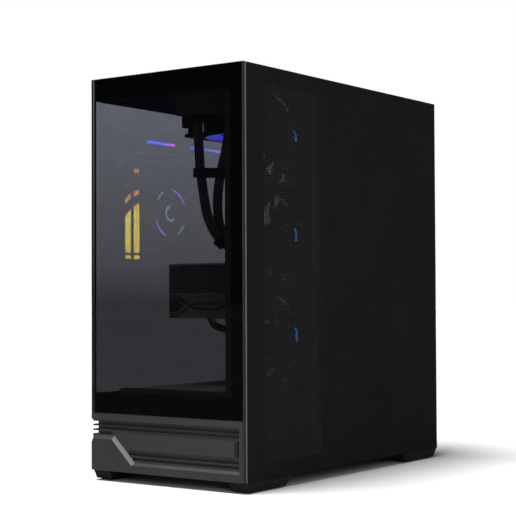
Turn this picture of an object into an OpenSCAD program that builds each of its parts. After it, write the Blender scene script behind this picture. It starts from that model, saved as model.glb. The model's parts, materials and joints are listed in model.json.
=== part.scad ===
// Desktop computer tower with two glass faces meeting at an open corner,
// three side intake fans, a liquid cooler in the roof and a long graphics card.
// Frame: X to the right seen from the front, Y to the rear, Z up.
// The origin is on the floor, under the middle of the case.

/* [Case] */
// Width over the side panels
case_w = 231; // [222:1:240]
// Depth from the front glass to the rear edge of the side panels
case_d = 447; // [440:1:470]
// Height of the body, without the feet
body_h = 475; // [470:1:500]
// Height of the feet
foot_h = 12.5; // [12:0.5:20]
// Thickness of the sheet steel
sheet = 1.2; // [0.8:0.1:1.2]
// Thickness of the tempered glass
glass_t = 4; // [3:0.5:4]
// Height of the moulded trim below the glass
trim_h = 69; // [60:1:72]

/* [Window] */
// Height of the black band along the top of the glass
band_top = 27; // [24:1:30]
// Height of the black band along the bottom of the glass
band_bottom = 25; // [20:1:26]
// Width of the black band at the closed end of the glass
band_side = 19; // [16:1:22]

/* [Case fans] */
// Outside size of a case fan
fan_size = 120; // [120:1:120]
// Depth of a case fan
fan_depth = 25; // [24:0.5:26]
// Blades on a case fan
fan_blades = 9; // [7:1:11]

/* [Cooler] */
// Length of the radiator
rad_len = 277; // [274:1:280]
// Thickness of the radiator
rad_t = 27; // [25:1:30]
// Outside diameter of a coolant tube
tube_d = 12; // [10:0.5:12.5]
// Width of the pump head across its flats
pump_w = 74; // [66:1:76]

/* [Graphics card] */
// Length of the graphics card
card_len = 340; // [330:1:342]
// Width of the graphics card
card_w = 147; // [140:1:148]
// Thickness of the graphics card
card_t = 68; // [60:1:70]
// Blades on a graphics card fan
card_blades = 11; // [9:1:13]

/* [Mainboard] */
// Height of the mainboard
board_h = 305; // [300:1:305]
// Width of the mainboard
board_w = 244; // [240:1:244]

/* [Controls] */
// Travel of the power button
power_travel = 1.5; // [1:0.1:1.5]
// Travel of the light button
light_travel = 1; // [0.8:0.1:1]

/* [Hidden] */
$fn = 48;

// Faces of the body
x_left = -case_w / 2;
x_right = case_w / 2;
y_front = -case_d / 2;
y_rear = case_d / 2;
z_body = foot_h;
z_top = foot_h + body_h;

// Gap between pieces that come apart
gap = 0.3;
// Hairline seam where the folded plates of one piece meet
seam = 0.1;
// Depth of the recess round the connectors at the rear
rear_recess = 10;
// Outer face of the rear panel
y_back = y_rear - rear_recess;
// Roof plate under the dust filter
z_roof = z_top - 14;
// Glass starts above the trim
z_glass = z_body + trim_h + 0.2;
// Right edge of the front glass
x_glass = x_right - 2.3;
// Inner faces of the two panes
y_pane = y_front + glass_t;
x_pane = x_left + glass_t;
// Black bands behind the panes
band_t = 1;
// Front frame behind the front band
y_frame = y_pane + band_t + gap;
// Lower half of the front frame, behind the trim
trim_depth = 18;
y_step = y_front + trim_depth + gap;
// Side rails that the side panels clip to
x_rail_right = x_right - 3.7;
x_rail_left = x_pane + band_t + gap;
// Main plate that carries the mainboard
x_tray = x_right - 26.5;
// Mainboard surface
standoff = 6.5;
board_t = 1.6;
x_board = x_tray - standoff - board_t;
y_board = y_back - sheet - 6 - board_w;
z_board = z_body + 418 - board_h;
// Top of the shroud over the power supply
z_shroud = z_body + 99;
// Left end of the flat top of the shroud
crest_x = -71;
// Processor centre on the mainboard
y_cpu = y_board + 123.5;
z_cpu = z_board + 218;

// Fan layout
fan_bore = 56.5;
fan_hole = 52.5;
hub_r = 20.5;
shaft_r = 1.5;
side_fan_y = y_front + 98.5;
side_fan_z = [z_body + 396, z_body + 276, z_body + 155.5];
side_fan_x = x_right - 9.7;
top_fan_x = 10;
rad_y = y_front + 80;
rad_tank = 17;
rad_z = z_roof - rad_t;
top_fan_y = [rad_y + rad_tank + 60, rad_y + rad_tank + 180];
top_fan_z = rad_z - fan_depth;
rear_fan_x = -44;
rear_fan_z = z_body + 345;

// Graphics card
card_x = x_tray - 14;
card_y = y_back - sheet - card_len;
card_z = z_body + 250.6;
card_fan_r = 44;
card_fan_y = [card_y + 58, card_y + 158, card_y + 258];
card_fan_x = card_x - card_w / 2;
slot_pitch = 20.32;
slot_z = card_z - 10;

// Power supply
psu_w = 150;
psu_h = 86;
psu_l = 160;
psu_x = -58;
psu_y = y_back - sheet - psu_l;
psu_z = z_body + sheet + 3;
psu_fan_x = psu_x + psu_w / 2;
psu_fan_y = psu_y + 74;
inlet_x = psu_x + 118;
inlet_z = psu_z + 58;
switch_x = psu_x + 118;
switch_z = psu_z + 26;

// Controls and ports along the front of the roof
y_ports = y_front + 20;
power_x = 92;
light_x = 72;
usb_x = [0, 20];
usb_c_x = 40;
audio_x = 56;
audio_bore_r = 1.8;
audio_l = 10.8;

// Coolant tube routes, from the radiator tank to the pump head
tube_front_route = [
    [-19, -135, 446.2], [-19, -135, 424], [-17.5, -135, 400], [-15, -135.5, 376],
    [-8, -137, 341], [-2, -138, 320], [6, -136, 302], [17, -126, 285],
    [28, -102, 273], [34, -70, 277], [34, -38, 303], [34, -6, 341],
    [34, 24, 361], [34, 44, 363], [34, 52, 363]
];
tube_rear_route = [
    [30, -135, 446.2], [29, -135, 424], [22, -134, 396], [13, -132, 371],
    [6, -128, 346], [3, -124.5, 325], [4, -120, 307], [12, -110, 295],
    [23, -94, 289], [32, -75, 292], [34, -56, 306], [34, -34, 333],
    [34, -12, 359], [34, 6, 373], [34, 26, 380], [34, 44, 381], [34, 52, 381]
];
// Cable routes held between the power supply and the boards
card_cable_route = [
    [-74, -4, 249], [-84, -4, 249], [-92, -8, 236], [-90, -18, 212], [-78, -30, 186],
    [-30, -42, 176], [30, -48, 168], [80, -50, 160], [100, -50, 156]
];
board_cable_route = [
    [67, -29, 346], [58, -30, 346], [50, -36, 343], [50, -44, 334],
    [62, -49, 323], [80, -50, 316], [100, -50, 314]
];

// A box from its lowest to its highest corner
module block(lo, hi) {
    translate(lo) cube(hi - lo);
}

// A cylinder along X, Y or Z that starts at p
module rod_x(p, r, l) {
    translate(p) rotate([0, 90, 0]) cylinder(r = r, h = l);
}
module rod_y(p, r, l) {
    translate(p) rotate([-90, 0, 0]) cylinder(r = r, h = l);
}
module rod_z(p, r, l) {
    translate(p) cylinder(r = r, h = l);
}

// A rectangle with round ends, long along X, on its centre
module slot_2d(l, w) {
    square([l - w, w], center = true);
    for (s = [-1, 1]) translate([s * (l - w) / 2, 0]) circle(d = w);
}

// Rows of plain vents on the XY plane, over an area of w by h
module vents_2d(w, h, cols, rows, fill = 0.6) {
    for (i = [0 : cols - 1], j = [0 : rows - 1])
        translate([(i + 0.5) * w / cols - w / 2, (j + 0.5) * h / rows - h / 2])
            square([w / cols * fill, h / rows * 0.9], center = true);
}

// Stands a flat shape upright: 2D X stays X and 2D Y becomes Z, thick along Y
module upright(y, t) {
    translate([0, y + t, 0]) rotate([90, 0, 0]) linear_extrude(t) children();
}

// Stands a flat shape against X: 2D X becomes Y and 2D Y becomes Z
module sideways(x, t) {
    translate([x, 0, 0]) rotate([90, 0, 90]) linear_extrude(t) children();
}

// ---- Tube sweeping ----
function unit(v) = v / norm(v);
// Point at t in 0..1 between p1 and p2 on a Catmull-Rom curve
function spline_point(p0, p1, p2, p3, t) = 0.5 * (
    2 * p1 + (p2 - p0) * t + (2 * p0 - 5 * p1 + 4 * p2 - p3) * t * t
    + (3 * p1 - p0 - 3 * p2 + p3) * t * t * t);
function at(path, i) = path[max(0, min(len(path) - 1, i))];
function smooth(path, steps) = concat(
    [for (i = [0 : len(path) - 2], j = [0 : steps - 1])
        spline_point(at(path, i - 1), path[i], path[i + 1], at(path, i + 2), j / steps)],
    [path[len(path) - 1]]);
function tangent(path, i) = unit(at(path, i + 1) - at(path, i - 1));
// Normals carried along the path with no twist
function normals(path, first) = [
    for (i = 0, n = unit(first - (first * tangent(path, 0)) * tangent(path, 0));
         i < len(path);
         i = i + 1,
         n = i < len(path)
             ? unit(n - (n * tangent(path, i)) * tangent(path, i)) : n)
    n];

// A round tube along a path, with flat ends
module tube(route, d, steps, sides, first) {
    path = smooth(route, steps);
    side = normals(path, first);
    points = [
        for (i = [0 : len(path) - 1], k = [0 : sides - 1])
            path[i] + d / 2 * (cos(360 * k / sides) * side[i]
                + sin(360 * k / sides) * cross(tangent(path, i), side[i]))];
    last = (len(path) - 1) * sides;
    polyhedron(points, concat(
        [[for (k = [0 : sides - 1]) sides - 1 - k]],
        [for (i = [0 : len(path) - 2], k = [0 : sides - 1], half = [0, 1])
            let (a = i * sides + k, b = i * sides + (k + 1) % sides)
            half == 0 ? [a, b, b + sides] : [a, b + sides, a + sides]],
        [[for (k = [0 : sides - 1]) last + k]]));
}

// ---- Fans, on their own axis Z: air enters at 0 and leaves at the depth ----
module fan_frame() {
    flange = 4;
    corner = 4.5;
    difference() {
        union() {
            for (z = [0, fan_depth - flange])
                block([-fan_size / 2, -fan_size / 2, z],
                      [fan_size / 2, fan_size / 2, z + flange]);
            cylinder(r = fan_bore + 2, h = fan_depth);
            for (x = [-1, 1], y = [-1, 1])
                rod_z([x * fan_hole, y * fan_hole, 0], corner, fan_depth);
        }
        translate([0, 0, -1]) cylinder(r = fan_bore, h = fan_depth + 2);
        for (x = [-1, 1], y = [-1, 1])
            rod_z([x * fan_hole, y * fan_hole, -1], 2.2, fan_depth + 2);
    }
    difference() {
        union() {
            rod_z([0, 0, 8], 15.5, fan_depth - 8);
            rod_z([0, 0, fan_depth - 3], hub_r, 3);
            for (a = [45 : 90 : 315])
                rotate([0, 0, a])
                    block([hub_r - 2, -2, fan_depth - 3], [fan_bore + 1, 2, fan_depth]);
        }
        rod_z([0, 0, 7], shaft_r + 0.05, 15);
    }
}

module fan_rotor() {
    difference() {
        rod_z([0, 0, 3.5], hub_r, 17.5);
        rod_z([0, 0, 5.5], hub_r - 3, 20);
    }
    rod_z([0, 0, 4.5], shaft_r, 16);
    for (i = [0 : fan_blades - 1])
        rotate([0, 0, i * 360 / fan_blades])
            translate([hub_r - 1, 0, 12]) rotate([38, 0, 0])
                cube_on_x(53.5 - hub_r, 17, 1.6);
}

// A flat bar that starts at the origin and runs along X
module cube_on_x(l, w, t) {
    translate([0, -w / 2, -t / 2]) cube([l + 1, w, t]);
}

module small_rotor(r, hub, depth, blades) {
    difference() {
        cylinder(r = hub, h = depth);
        rod_z([0, 0, 2], hub - 3, depth);
    }
    rod_z([0, 0, 1], shaft_r, depth - 2);
    for (i = [0 : blades - 1])
        rotate([0, 0, i * 360 / blades])
            translate([hub - 1, 0, depth / 2]) rotate([35, 0, 0])
                cube_on_x(r - hub - 0.6, 12, 1.4);
}

module place_side_fan(k) {
    translate([side_fan_x, side_fan_y, side_fan_z[k]]) rotate([0, -90, 0]) children();
}
module place_top_fan(k) {
    translate([top_fan_x, top_fan_y[k], top_fan_z]) children();
}
module place_rear_fan() {
    translate([rear_fan_x, y_back - sheet - fan_depth, rear_fan_z])
        rotate([-90, 0, 0]) children();
}

// ---- Chassis ----
pan_x = [x_left + 5.2, x_right - 2.5];
pan_y = [y_step + sheet, y_back];

module base_pan() {
    rail_x = psu_fan_x + 72;
    color("#1c1c1f") {
        difference() {
            block([pan_x[0], pan_y[0], z_body], [pan_x[1], pan_y[1], z_body + sheet]);
            translate([psu_fan_x, psu_fan_y, z_body - 1])
                linear_extrude(sheet + 2) vents_2d(124, 124, 10, 3);
            for (x = [-1, 1], y = [y_front + 48, y_rear - 45])
                rod_z([x * (x_right - 13), y, z_body - 1], 2.5, sheet + 2);
        }
        // Upright edge that carries the left skirt
        block([x_left + 4, pan_y[0], z_body], [pan_x[0], pan_y[1], z_body + 60]);
        // Rails that hold the dust filter under the power supply
        for (s = [-1, 1])
            translate([psu_fan_x, 0, 0]) mirror([s < 0 ? 1 : 0, 0, 0]) {
                block([72, psu_fan_y - 78, z_body - 4], [73.2, pan_y[1], z_body]);
                block([67, psu_fan_y - 78, z_body - 5.2], [73.2, pan_y[1], z_body - 4]);
            }
    }
}

module fan_screws_2d() {
    for (x = [-1, 1], y = [-1, 1])
        translate([x * fan_hole, y * fan_hole]) circle(r = 2.3);
}

module rear_panel() {
    plate_x = [pan_x[0], pan_x[1]];
    color("#1c1c1f") upright(y_back - sheet, sheet) difference() {
        translate([plate_x[0], z_body + sheet])
            square([plate_x[1] - plate_x[0], z_roof - z_body - sheet]);
        // Window for the power supply's rear face
        translate([psu_x + 4, psu_z + 4]) square([psu_w - 8, psu_h - 8]);
        // Window for the connector plate
        translate([x_board - 40, z_board + 137]) square([44.5, 159]);
        for (k = [0 : 6])
            translate([x_board - 102, slot_z - k * slot_pitch - 6.5]) square([88, 13]);
        translate([rear_fan_x, rear_fan_z]) {
            intersection() {
                circle(r = fan_bore);
                vents_2d(114, 114, 11, 3);
            }
            fan_screws_2d();
        }
    }
}

// Flat rails round the side openings, with sockets for the ball catches
module side_rails() {
    rail_y = y_frame + sheet + 22;
    color("#1c1c1f") {
        sideways(x_rail_right, sheet) difference() {
            translate([rail_y, z_body + sheet])
                square([y_back - sheet - rail_y, z_roof - z_body - sheet]);
            translate([rail_y - 1, z_body + 17])
                square([y_back - 40 - rail_y, z_roof - z_body - 31]);
            for (p = catch_right) translate(p) circle(r = 3.3);
        }
        sideways(x_rail_left, sheet) difference() {
            translate([rail_y, z_glass + 2]) square([y_back - sheet - rail_y, z_roof - z_glass - 2]);
            translate([rail_y - 1, z_glass + band_bottom - 2])
                square([y_back - 20 - rail_y, z_roof - 13 - z_glass - band_bottom + 2]);
            for (p = catch_left) translate(p) circle(r = 3.3);
        }
    }
}

module board_tray() {
    color("#1c1c1f") sideways(x_tray, sheet) difference() {
        translate([y_front + 162, z_shroud])
            square([y_back - sheet - y_front - 162, z_roof - z_shroud]);
        // Opening behind the processor
        translate([y_cpu - 55, z_cpu - 50]) square([110, 105]);
        // Cable slots in front of and below the mainboard
        for (z = [z_body + 155, z_body + 300, z_body + 392])
            translate([y_board - 12, z]) rotate([0, 0, 90]) slot_2d(46, 15);
        for (y = [20, 110, 170]) translate([y, z_shroud + 9]) slot_2d(46, 11);
        for (y = [110, 170]) translate([y, z_board + board_h + 16]) slot_2d(40, 11);
    }
}

roof_lo = [x_pane + gap, y_pane + band_t + gap, z_roof];
roof_hi = [x_right - sheet - gap, y_rear, z_top];
deck_y = roof_lo[1] + 30;

module top_panel() {
    lo = roof_lo;
    hi = roof_hi;
    wall_z = z_roof + sheet + seam;
    color("#17171a") {
        difference() {
            block(lo, [hi[0], hi[1], z_roof + sheet]);
            // Air slots over the radiator
            translate([top_fan_x, (top_fan_y[0] + top_fan_y[1]) / 2, z_roof - 1])
                linear_extrude(sheet + 2) vents_2d(110, 260, 9, 7);
        }
        for (x = [lo[0], hi[0] - sheet])
            block([x, deck_y + seam, wall_z], [x + sheet, hi[1] - sheet - seam, hi[2]]);
        block([lo[0], hi[1] - sheet, wall_z], hi);
    }
}

// The strip along the front of the roof that carries the buttons and ports
module control_deck() {
    lo = [roof_lo[0], roof_lo[1], z_roof + sheet + seam];
    hi = [roof_hi[0], deck_y, z_top];
    color("#17171a") {
        difference() {
            block([lo[0], lo[1], z_top - sheet], hi);
            rod_z([power_x, y_ports, z_top - 5], 7.25, 6);
            rod_z([light_x, y_ports, z_top - 5], 3.25, 6);
            for (x = usb_x)
                block([x - 6.8, y_ports - 3.1, z_top - 5], [x + 6.8, y_ports + 3.1, z_top + 1]);
            block([usb_c_x - 4.8, y_ports - 1.9, z_top - 5],
                  [usb_c_x + 4.8, y_ports + 1.9, z_top + 1]);
            rod_z([audio_x, y_ports, z_top - 5], 3.6, 6);
        }
        for (y = [lo[1], deck_y - sheet])
            block([lo[0], y, lo[2]], [hi[0], y + sheet, z_top - sheet - seam]);
        for (x = [lo[0], hi[0] - sheet])
            block([x, lo[1] + sheet + seam, lo[2]],
                  [x + sheet, deck_y - sheet - seam, z_top - sheet - seam]);
    }
}

module front_frame() {
    lip = 6.3;
    inner_x = x_glass - band_side - 9;
    low = z_glass + band_bottom + lip;
    high = z_top - band_top - 2;
    step_z = z_glass + 0.2;
    color("#232326") {
        upright(y_frame, sheet) difference() {
            polygon([
                [x_pane + 6, step_z], [x_glass - 0.7, step_z],
                [x_glass - 0.7, z_roof], [x_pane + 6, z_roof], [x_pane + 6, high + 12],
                [x_pane + 18, high], [inner_x, high], [inner_x, low],
                [crest_x, low], [crest_x - 9.4, low - 6.5], [x_pane + 6, low - 10]]);
            // Sockets for the ball catches of the front glass
            for (p = catch_front) translate(p) circle(r = 3.3);
        }
        // Step back over the trim, then down to the base pan
        block([x_pane + 6, y_frame + sheet + seam, step_z],
              [x_glass - 0.7, y_step + sheet, step_z + sheet]);
        block([x_pane + 6, y_step, z_body + sheet],
              [x_glass - 0.7, y_step + sheet, step_z - seam]);
        // Post between the front glass and the right panel
        block([x_glass - 1.9, y_frame + sheet + seam, step_z + sheet + seam],
              [x_glass - 0.7, y_frame + sheet + 20, z_roof]);
        // Return lip that meets the shroud
        block([crest_x, y_frame + sheet + seam, z_shroud - sheet],
              [side_fan_x - fan_depth - 1, y_step + sheet, z_shroud]);
    }
}

// Ball catches: [x, z] on the front pane and [y, z] on the side panels
catch_front = [
    [x_glass - 8, z_top - 20], [x_glass - 8, z_glass + 10],
    [x_pane + 25, z_top - 20], [x_pane + 25, z_glass + 10]];
catch_right = [
    [y_front + 60, z_roof - 7], [y_front + 60, z_body + 9],
    [y_back - 20, z_top - 30], [y_back - 20, z_body + 60]];
catch_left = [
    [y_front + 60, z_roof - 7], [y_front + 60, z_glass + 12],
    [y_back - 12, z_roof - 7], [y_back - 12, z_glass + 12]];

module side_fan_bracket() {
    x = side_fan_x;
    color("#1c1c1f") {
        sideways(x, sheet) difference() {
            translate([side_fan_y - 60, z_body + sheet])
                square([120, z_roof - z_body - sheet]);
            for (z = side_fan_z) translate([side_fan_y, z]) {
                circle(r = fan_bore + 0.5);
                fan_screws_2d();
            }
        }
        // Flange back to the tray
        block([x_tray + sheet, side_fan_y + 60 + seam, z_shroud],
              [x + sheet, side_fan_y + 61.2, z_roof]);
    }
}

module psu_shroud() {
    foot = -92;
    shoulder = z_shroud - 14.5;
    color("#1a1a1d") difference() {
        upright(y_step + sheet, y_back - y_step - 2 * sheet) polygon([
            [foot, z_body + sheet], [foot, shoulder], [crest_x, z_shroud],
            [x_tray, z_shroud], [x_tray, z_shroud - sheet],
            [crest_x + 0.4, z_shroud - sheet], [foot + sheet, shoulder - 0.5],
            [foot + sheet, z_body + sheet]]);
        // Clear of the lowest side fan
        block([side_fan_x - fan_depth - 0.5, side_fan_y - 61, z_shroud - 3],
              [x_tray + 1, side_fan_y + 61, z_shroud + 1]);
        translate([0, 0, z_shroud - 4]) linear_extrude(8) {
            // Perforated field beside the window
            translate([-10, y_front + 120]) vents_2d(80, 190, 8, 9);
            // Cable slot below the front of the mainboard
            translate([x_tray - 12, y_front + 190]) rotate([0, 0, 90]) slot_2d(46, 14);
        }
    }
}

// ---- Moulded trim and feet ----
module front_trim() {
    rise = 3;
    x0 = x_left;
    x1 = x_glass;
    border_r = 5;
    floor_y = y_front + rise;
    module front_slot(x_from, x_to, z) {
        block([x_from, y_front - 1, z_body + z - 1.9],
              [x_to, floor_y + 2.5, z_body + z + 1.9]);
        if (x_to > x1 - 15) rod_y([x_to, y_front - 1, z_body + z], 1.9, rise + 3.5);
    }
    color("#3a393c") difference() {
        union() {
            block([x0, floor_y, z_body], [x1, y_front + trim_depth, z_body + trim_h]);
            // Raised rim: top rail, right stile, bottom rail
            block([x0, y_front, z_body + 61.3], [x1, floor_y, z_body + trim_h]);
            block([x1 - border_r, y_front, z_body], [x1, floor_y, z_body + trim_h]);
            bevel([[-62, 0], [x1, 0], [x1, 9], [-51, 9]],
                  [[-62, 0], [x1, 0], [x1, 12.2], [-48, 12.2]], rise);
            // Raised block at the left, with a slanted end
            bevel([[x0, 0], [-46, 0], [-52, 8.5], [-83, 38], [x0 + 4, 38], [x0, 34]],
                  [[x0, 0], [-40, 0], [-48.5, 12], [-81, 42.5], [x0 + 4, 42.5], [x0, 38.5]],
                  rise);
            // Name plate field between the slots
            block([-60, y_front + 1.2, z_body + 27.5], [x1 - 12.4, floor_y, z_body + 46.5]);
        }
        for (z = [57, 51.4]) front_slot(x0 - 1, x1 - 9, z);
        front_slot(x0 - 1, -84, 45.7);
        for (z = [22.3, 16.6]) front_slot(-58 + (22.3 - z), x1 - 9, z);
        // Upright slot at the closed end of the name plate field
        block([x1 - 10.6, y_front - 1, z_body + 28], [x1 - 7.4, floor_y + 2.5, z_body + 46]);
        // The upper slots run round the left corner
        for (z = [57, 51.4, 45.7])
            block([x0 - 1, y_front - 1, z_body + z - 1.9],
                  [x0 + 6.5, y_front + trim_depth + 1, z_body + z + 1.9]);
        // Hollow back
        block([x0 + 9, y_front + 9, z_body + 3],
              [x1 - 3, y_front + trim_depth + 1, z_body + trim_h - 3]);
    }
}

// A raised area: its face outline at the front and its foot outline behind it
module bevel(face, foot, rise) {
    hull() {
        upright(y_front, 0.01) translate([0, z_body]) polygon(face);
        upright(y_front + rise, 0.01) translate([0, z_body]) polygon(foot);
    }
}

module left_skirt() {
    y0 = y_step + sheet;
    color("#3a393c") difference() {
        block([x_left, y0, z_body], [x_left + 4, y_rear, z_body + trim_h]);
        for (z = [57, 51.4, 45.7])
            block([x_left - 1, y0 - 1, z_body + z - 1.9],
                  [x_left + 2.5, y0 + 120, z_body + z + 1.9]);
    }
}

// One foot, with its long outline in the YZ plane
module foot(y_a, y_b, cut_a, cut_b, side) {
    pad = 1.5;
    width = 25;
    x = side > 0 ? x_right - width : x_left;
    color("#141416") sideways(x, width)
        polygon([[y_a, z_body], [y_a + cut_a, pad], [y_b - cut_b, pad], [y_b, z_body]]);
}

module feet() {
    for (s = [-1, 1]) {
        foot(y_front + 3.5, y_front + 93, 6, 11, s);
        foot(y_rear - 91, y_rear, 6, 11, s);
    }
}

module foot_pads() {
    color("#0d0d0e") for (s = [-1, 1], y = [y_front + 14, y_rear - 79])
        block([s * (x_right - 12.5) - 9, y, 0], [s * (x_right - 12.5) + 9, y + 62, 1.5]);
}

// ---- Controls and ports in the roof ----
module top_io_board() {
    color("#10301c") block([-14, y_ports - 9, z_roof + sheet],
                           [104, y_ports + 9, z_roof + sheet + 1.6]);
}

module top_io_ports() {
    base = z_roof + sheet + 1.6;
    color("silver") {
        for (x = usb_x) translate([x, y_ports, 0]) {
            difference() {
                block([-6.6, -2.9, base], [6.6, 2.9, z_top - 0.2]);
                block([-6.1, -2.4, base + 1], [6.1, 2.4, z_top]);
            }
            block([-5.6, 0.2, base + 0.5], [5.6, 1.9, z_top - 1.5]);
        }
        translate([usb_c_x, y_ports, 0]) {
            difference() {
                block([-4.6, -1.7, base], [4.6, 1.7, z_top - 0.2]);
                block([-4.2, -1.3, base + 1], [4.2, 1.3, z_top]);
            }
            block([-3.3, -0.35, base + 0.5], [3.3, 0.35, z_top - 1.5]);
        }
    }
    color("#222222") difference() {
        rod_z([audio_x, y_ports, z_top - 0.2 - audio_l], 3.4, audio_l);
        rod_z([audio_x, y_ports, z_top - 0.2 - audio_l - 1], audio_bore_r, audio_l + 2);
    }
}

// A round button with a collar under the deck and a stem above its switch
module push_button(x, r, travel) {
    under = z_top - sheet;
    rod_z([x, y_ports, under - 0.1], r, sheet + 0.4);
    rod_z([x, y_ports, under - 1.4], r + 1, 1.3);
    rod_z([x, y_ports, z_roof + sheet + 1.6 + travel + 0.3], min(r, 2.5),
          under - 1.3 - (z_roof + sheet + 1.6 + travel + 0.3));
}

module power_button() {
    color("#2a2a2d") push_button(power_x, 7, power_travel);
}

module light_button() {
    color("#2a2a2d") push_button(light_x, 3, light_travel);
}

// ---- Mainboard and what is on it ----
module mainboard() {
    color("#111214") difference() {
        block([x_board, y_board, z_board],
              [x_board + board_t, y_board + board_w, z_board + board_h]);
        for (p = board_holes) rod_x([x_board - 1, p[0], p[1]], 1.9, board_t + 2);
    }
}

board_holes = [
    for (y = [y_board + 9, y_board + 79, y_board + board_w - 10.5],
         z = [z_board + 6.5, z_board + 140, z_board + board_h - 10]) [y, z]];

module rear_io_ports() {
    y1 = y_board + board_w;
    z0 = z_board + 146;
    // Heights of the connector blocks, from the bottom up
    blocks = [[0, 14, 12], [16, 16, 20], [34, 16, 30], [52, 16, 30],
              [70, 22, 30], [94, 16, 20], [112, 30, 16]];
    color("silver") {
        for (b = blocks)
            block([x_board - b[2], y1 - 22, z0 + b[0]],
                  [x_board, y1 + 5, z0 + b[0] + b[1]]);
        difference() {
            block([x_board - 38, y1 + 5, z_board + 139], [x_board + 3, y1 + 5.8, z_board + 294]);
            for (b = blocks)
                block([x_board - b[2] + 1, y1 + 4, z0 + b[0] + 1],
                      [x_board - 1, y1 + 7, z0 + b[0] + b[1] - 1]);
        }
    }
}

module finned(lo, hi, fins) {
    pitch = (hi[2] - lo[2]) / fins;
    difference() {
        block(lo, hi);
        for (k = [0 : fins - 2])
            block([lo[0] - 1, lo[1] - 1, lo[2] + (k + 0.6) * pitch],
                  [lo[0] + (hi[0] - lo[0]) * 0.55, hi[1] + 1, lo[2] + (k + 1) * pitch]);
    }
}

module board_heatsinks() {
    color("#2b2b2f") {
        // Over the power stages beside and above the processor
        finned([x_board - 28, y_cpu + 46, z_cpu - 50], [x_board - 2, y_cpu + 80, z_cpu + 70], 9);
        finned([x_board - 24, y_cpu - 44, z_cpu + 50], [x_board - 2, y_cpu + 42, z_cpu + 74], 3);
        // Covers over the drives and the chipset
        block([x_board - 8, y_board + 84, z_board + 144],
              [x_board - 1, y_board + 190, z_board + 166]);
        block([x_board - 12, y_board + 20, z_board + 12],
              [x_board - 1, y_board + 100, z_board + 66]);
        block([x_board - 7, y_board + 112, z_board + 40],
              [x_board - 1, y_board + 215, z_board + 62]);
    }
}

memory_y = [y_board + 55.5, y_board + 74];
memory_z = [z_board + 149.5, z_board + 283];
slot_y = [for (k = [0 : 3]) y_board + 46.2 + 9.3 * k];

module board_connectors() {
    color("#1e1e21") {
        for (y = slot_y)
            difference() {
                block([x_board - 9, y - 3.2, memory_z[0] - 5],
                      [x_board, y + 3.2, memory_z[1] + 5]);
                block([x_board - 10, y - 1.2, memory_z[0] - 0.5],
                      [x_board - 1.5, y + 1.2, memory_z[1] + 0.5]);
            }
        for (z = [card_z - 7.2, card_z - 7.2 - 5 * slot_pitch])
            difference() {
                block([x_board - 11, y_board + 102, z - 3.6], [x_board, y_board + 192, z + 3.6]);
                block([x_board - 12, y_board + 104, z - 1.2], [x_board - 2, y_board + 190, z + 1.2]);
            }
        // Main power socket on the front edge
        block([x_board - 13, y_board + 3, z_board + 205], [x_board, y_board + 14, z_board + 257]);
        // Processor power sockets and fan headers on the top edge
        block([x_board - 12, y_board + 200, z_board + 292], [x_board, y_board + 218, z_board + 303]);
        block([x_board - 8, y_board + 92, z_board + 294], [x_board, y_board + 116, z_board + 300]);
        // Processor socket frame
        difference() {
            block([x_board - 5, y_cpu - 36, z_cpu - 42], [x_board, y_cpu + 36, z_cpu + 42]);
            block([x_board - 6, y_cpu - 20, z_cpu - 20], [x_board - 1, y_cpu + 20, z_cpu + 20]);
        }
    }
}

module memory_sticks() {
    for (y = memory_y) memory_stick(y);
}

module memory_stick(y) {
    top = x_board - 39;
    color("#26262a") {
        block([x_board - 30, y - 0.7, memory_z[0]], [x_board - 2, y + 0.7, memory_z[1]]);
        block([top + 6, y - 3.4, memory_z[0] + 2], [x_board - 10, y + 3.4, memory_z[1] - 2]);
    }
    color("#f0d040")
        block([top, y - 2.6, memory_z[0] + 1], [top + 6, y + 2.6, memory_z[1] - 1]);
}

// ---- Liquid cooler ----
pump_face = x_board - 58;
module pump_head() {
    color("#141416") {
        translate([pump_face, y_cpu, z_cpu]) rotate([0, 90, 0]) rotate([0, 0, 22.5])
            cylinder(d = pump_w / cos(22.5), h = 30, $fn = 8);
        rod_x([pump_face + 30, y_cpu, z_cpu], 29, 23);
        // Cold plate on the processor
        block([pump_face + 53, y_cpu - 19, z_cpu - 19], [x_board - 1, y_cpu + 19, z_cpu + 19]);
        // Elbow that the tubes plug into
        block([pump_face + 3, y_cpu - pump_w / 2 - 4, z_cpu + 10],
              [pump_face + 19, y_cpu - pump_w / 2 + 18, z_cpu + 45]);
    }
}

module radiator() {
    x0 = top_fan_x - 60;
    x1 = top_fan_x + 60;
    y1 = rad_y + rad_len;
    core = [rad_y + rad_tank, y1 - rad_tank + 6];
    rows = 12;
    pitch = 120 / rows;
    color("#121214") {
        block([x0, rad_y, rad_z], [x1, core[0], z_roof]);
        block([x0, core[1], rad_z], [x1, y1, z_roof]);
        // Filling plug
        rod_z([x0 + 12, rad_y + 8, rad_z - 15], 5, 16);
        for (x = [x0, x1 - 1.5]) block([x, core[0] - 1, rad_z], [x + 1.5, core[1] + 1, z_roof]);
        // Flat coolant channels
        for (k = [1 : rows - 1])
            block([x0 + k * pitch - 1, core[0] - 1, rad_z + 3], [x0 + k * pitch + 1, core[1] + 1, z_roof - 3]);
        // Fin pack between the channels
        block([x0 + 1, core[0] - 1, rad_z + 8], [x1 - 1, core[1] + 1, z_roof - 8]);
    }
}

module coolant_tubes() {
    color("#161616") {
        tube(tube_front_route, tube_d, 4, 12, [1, 0, 0]);
        tube(tube_rear_route, tube_d, 4, 12, [1, 0, 0]);
    }
}

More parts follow.
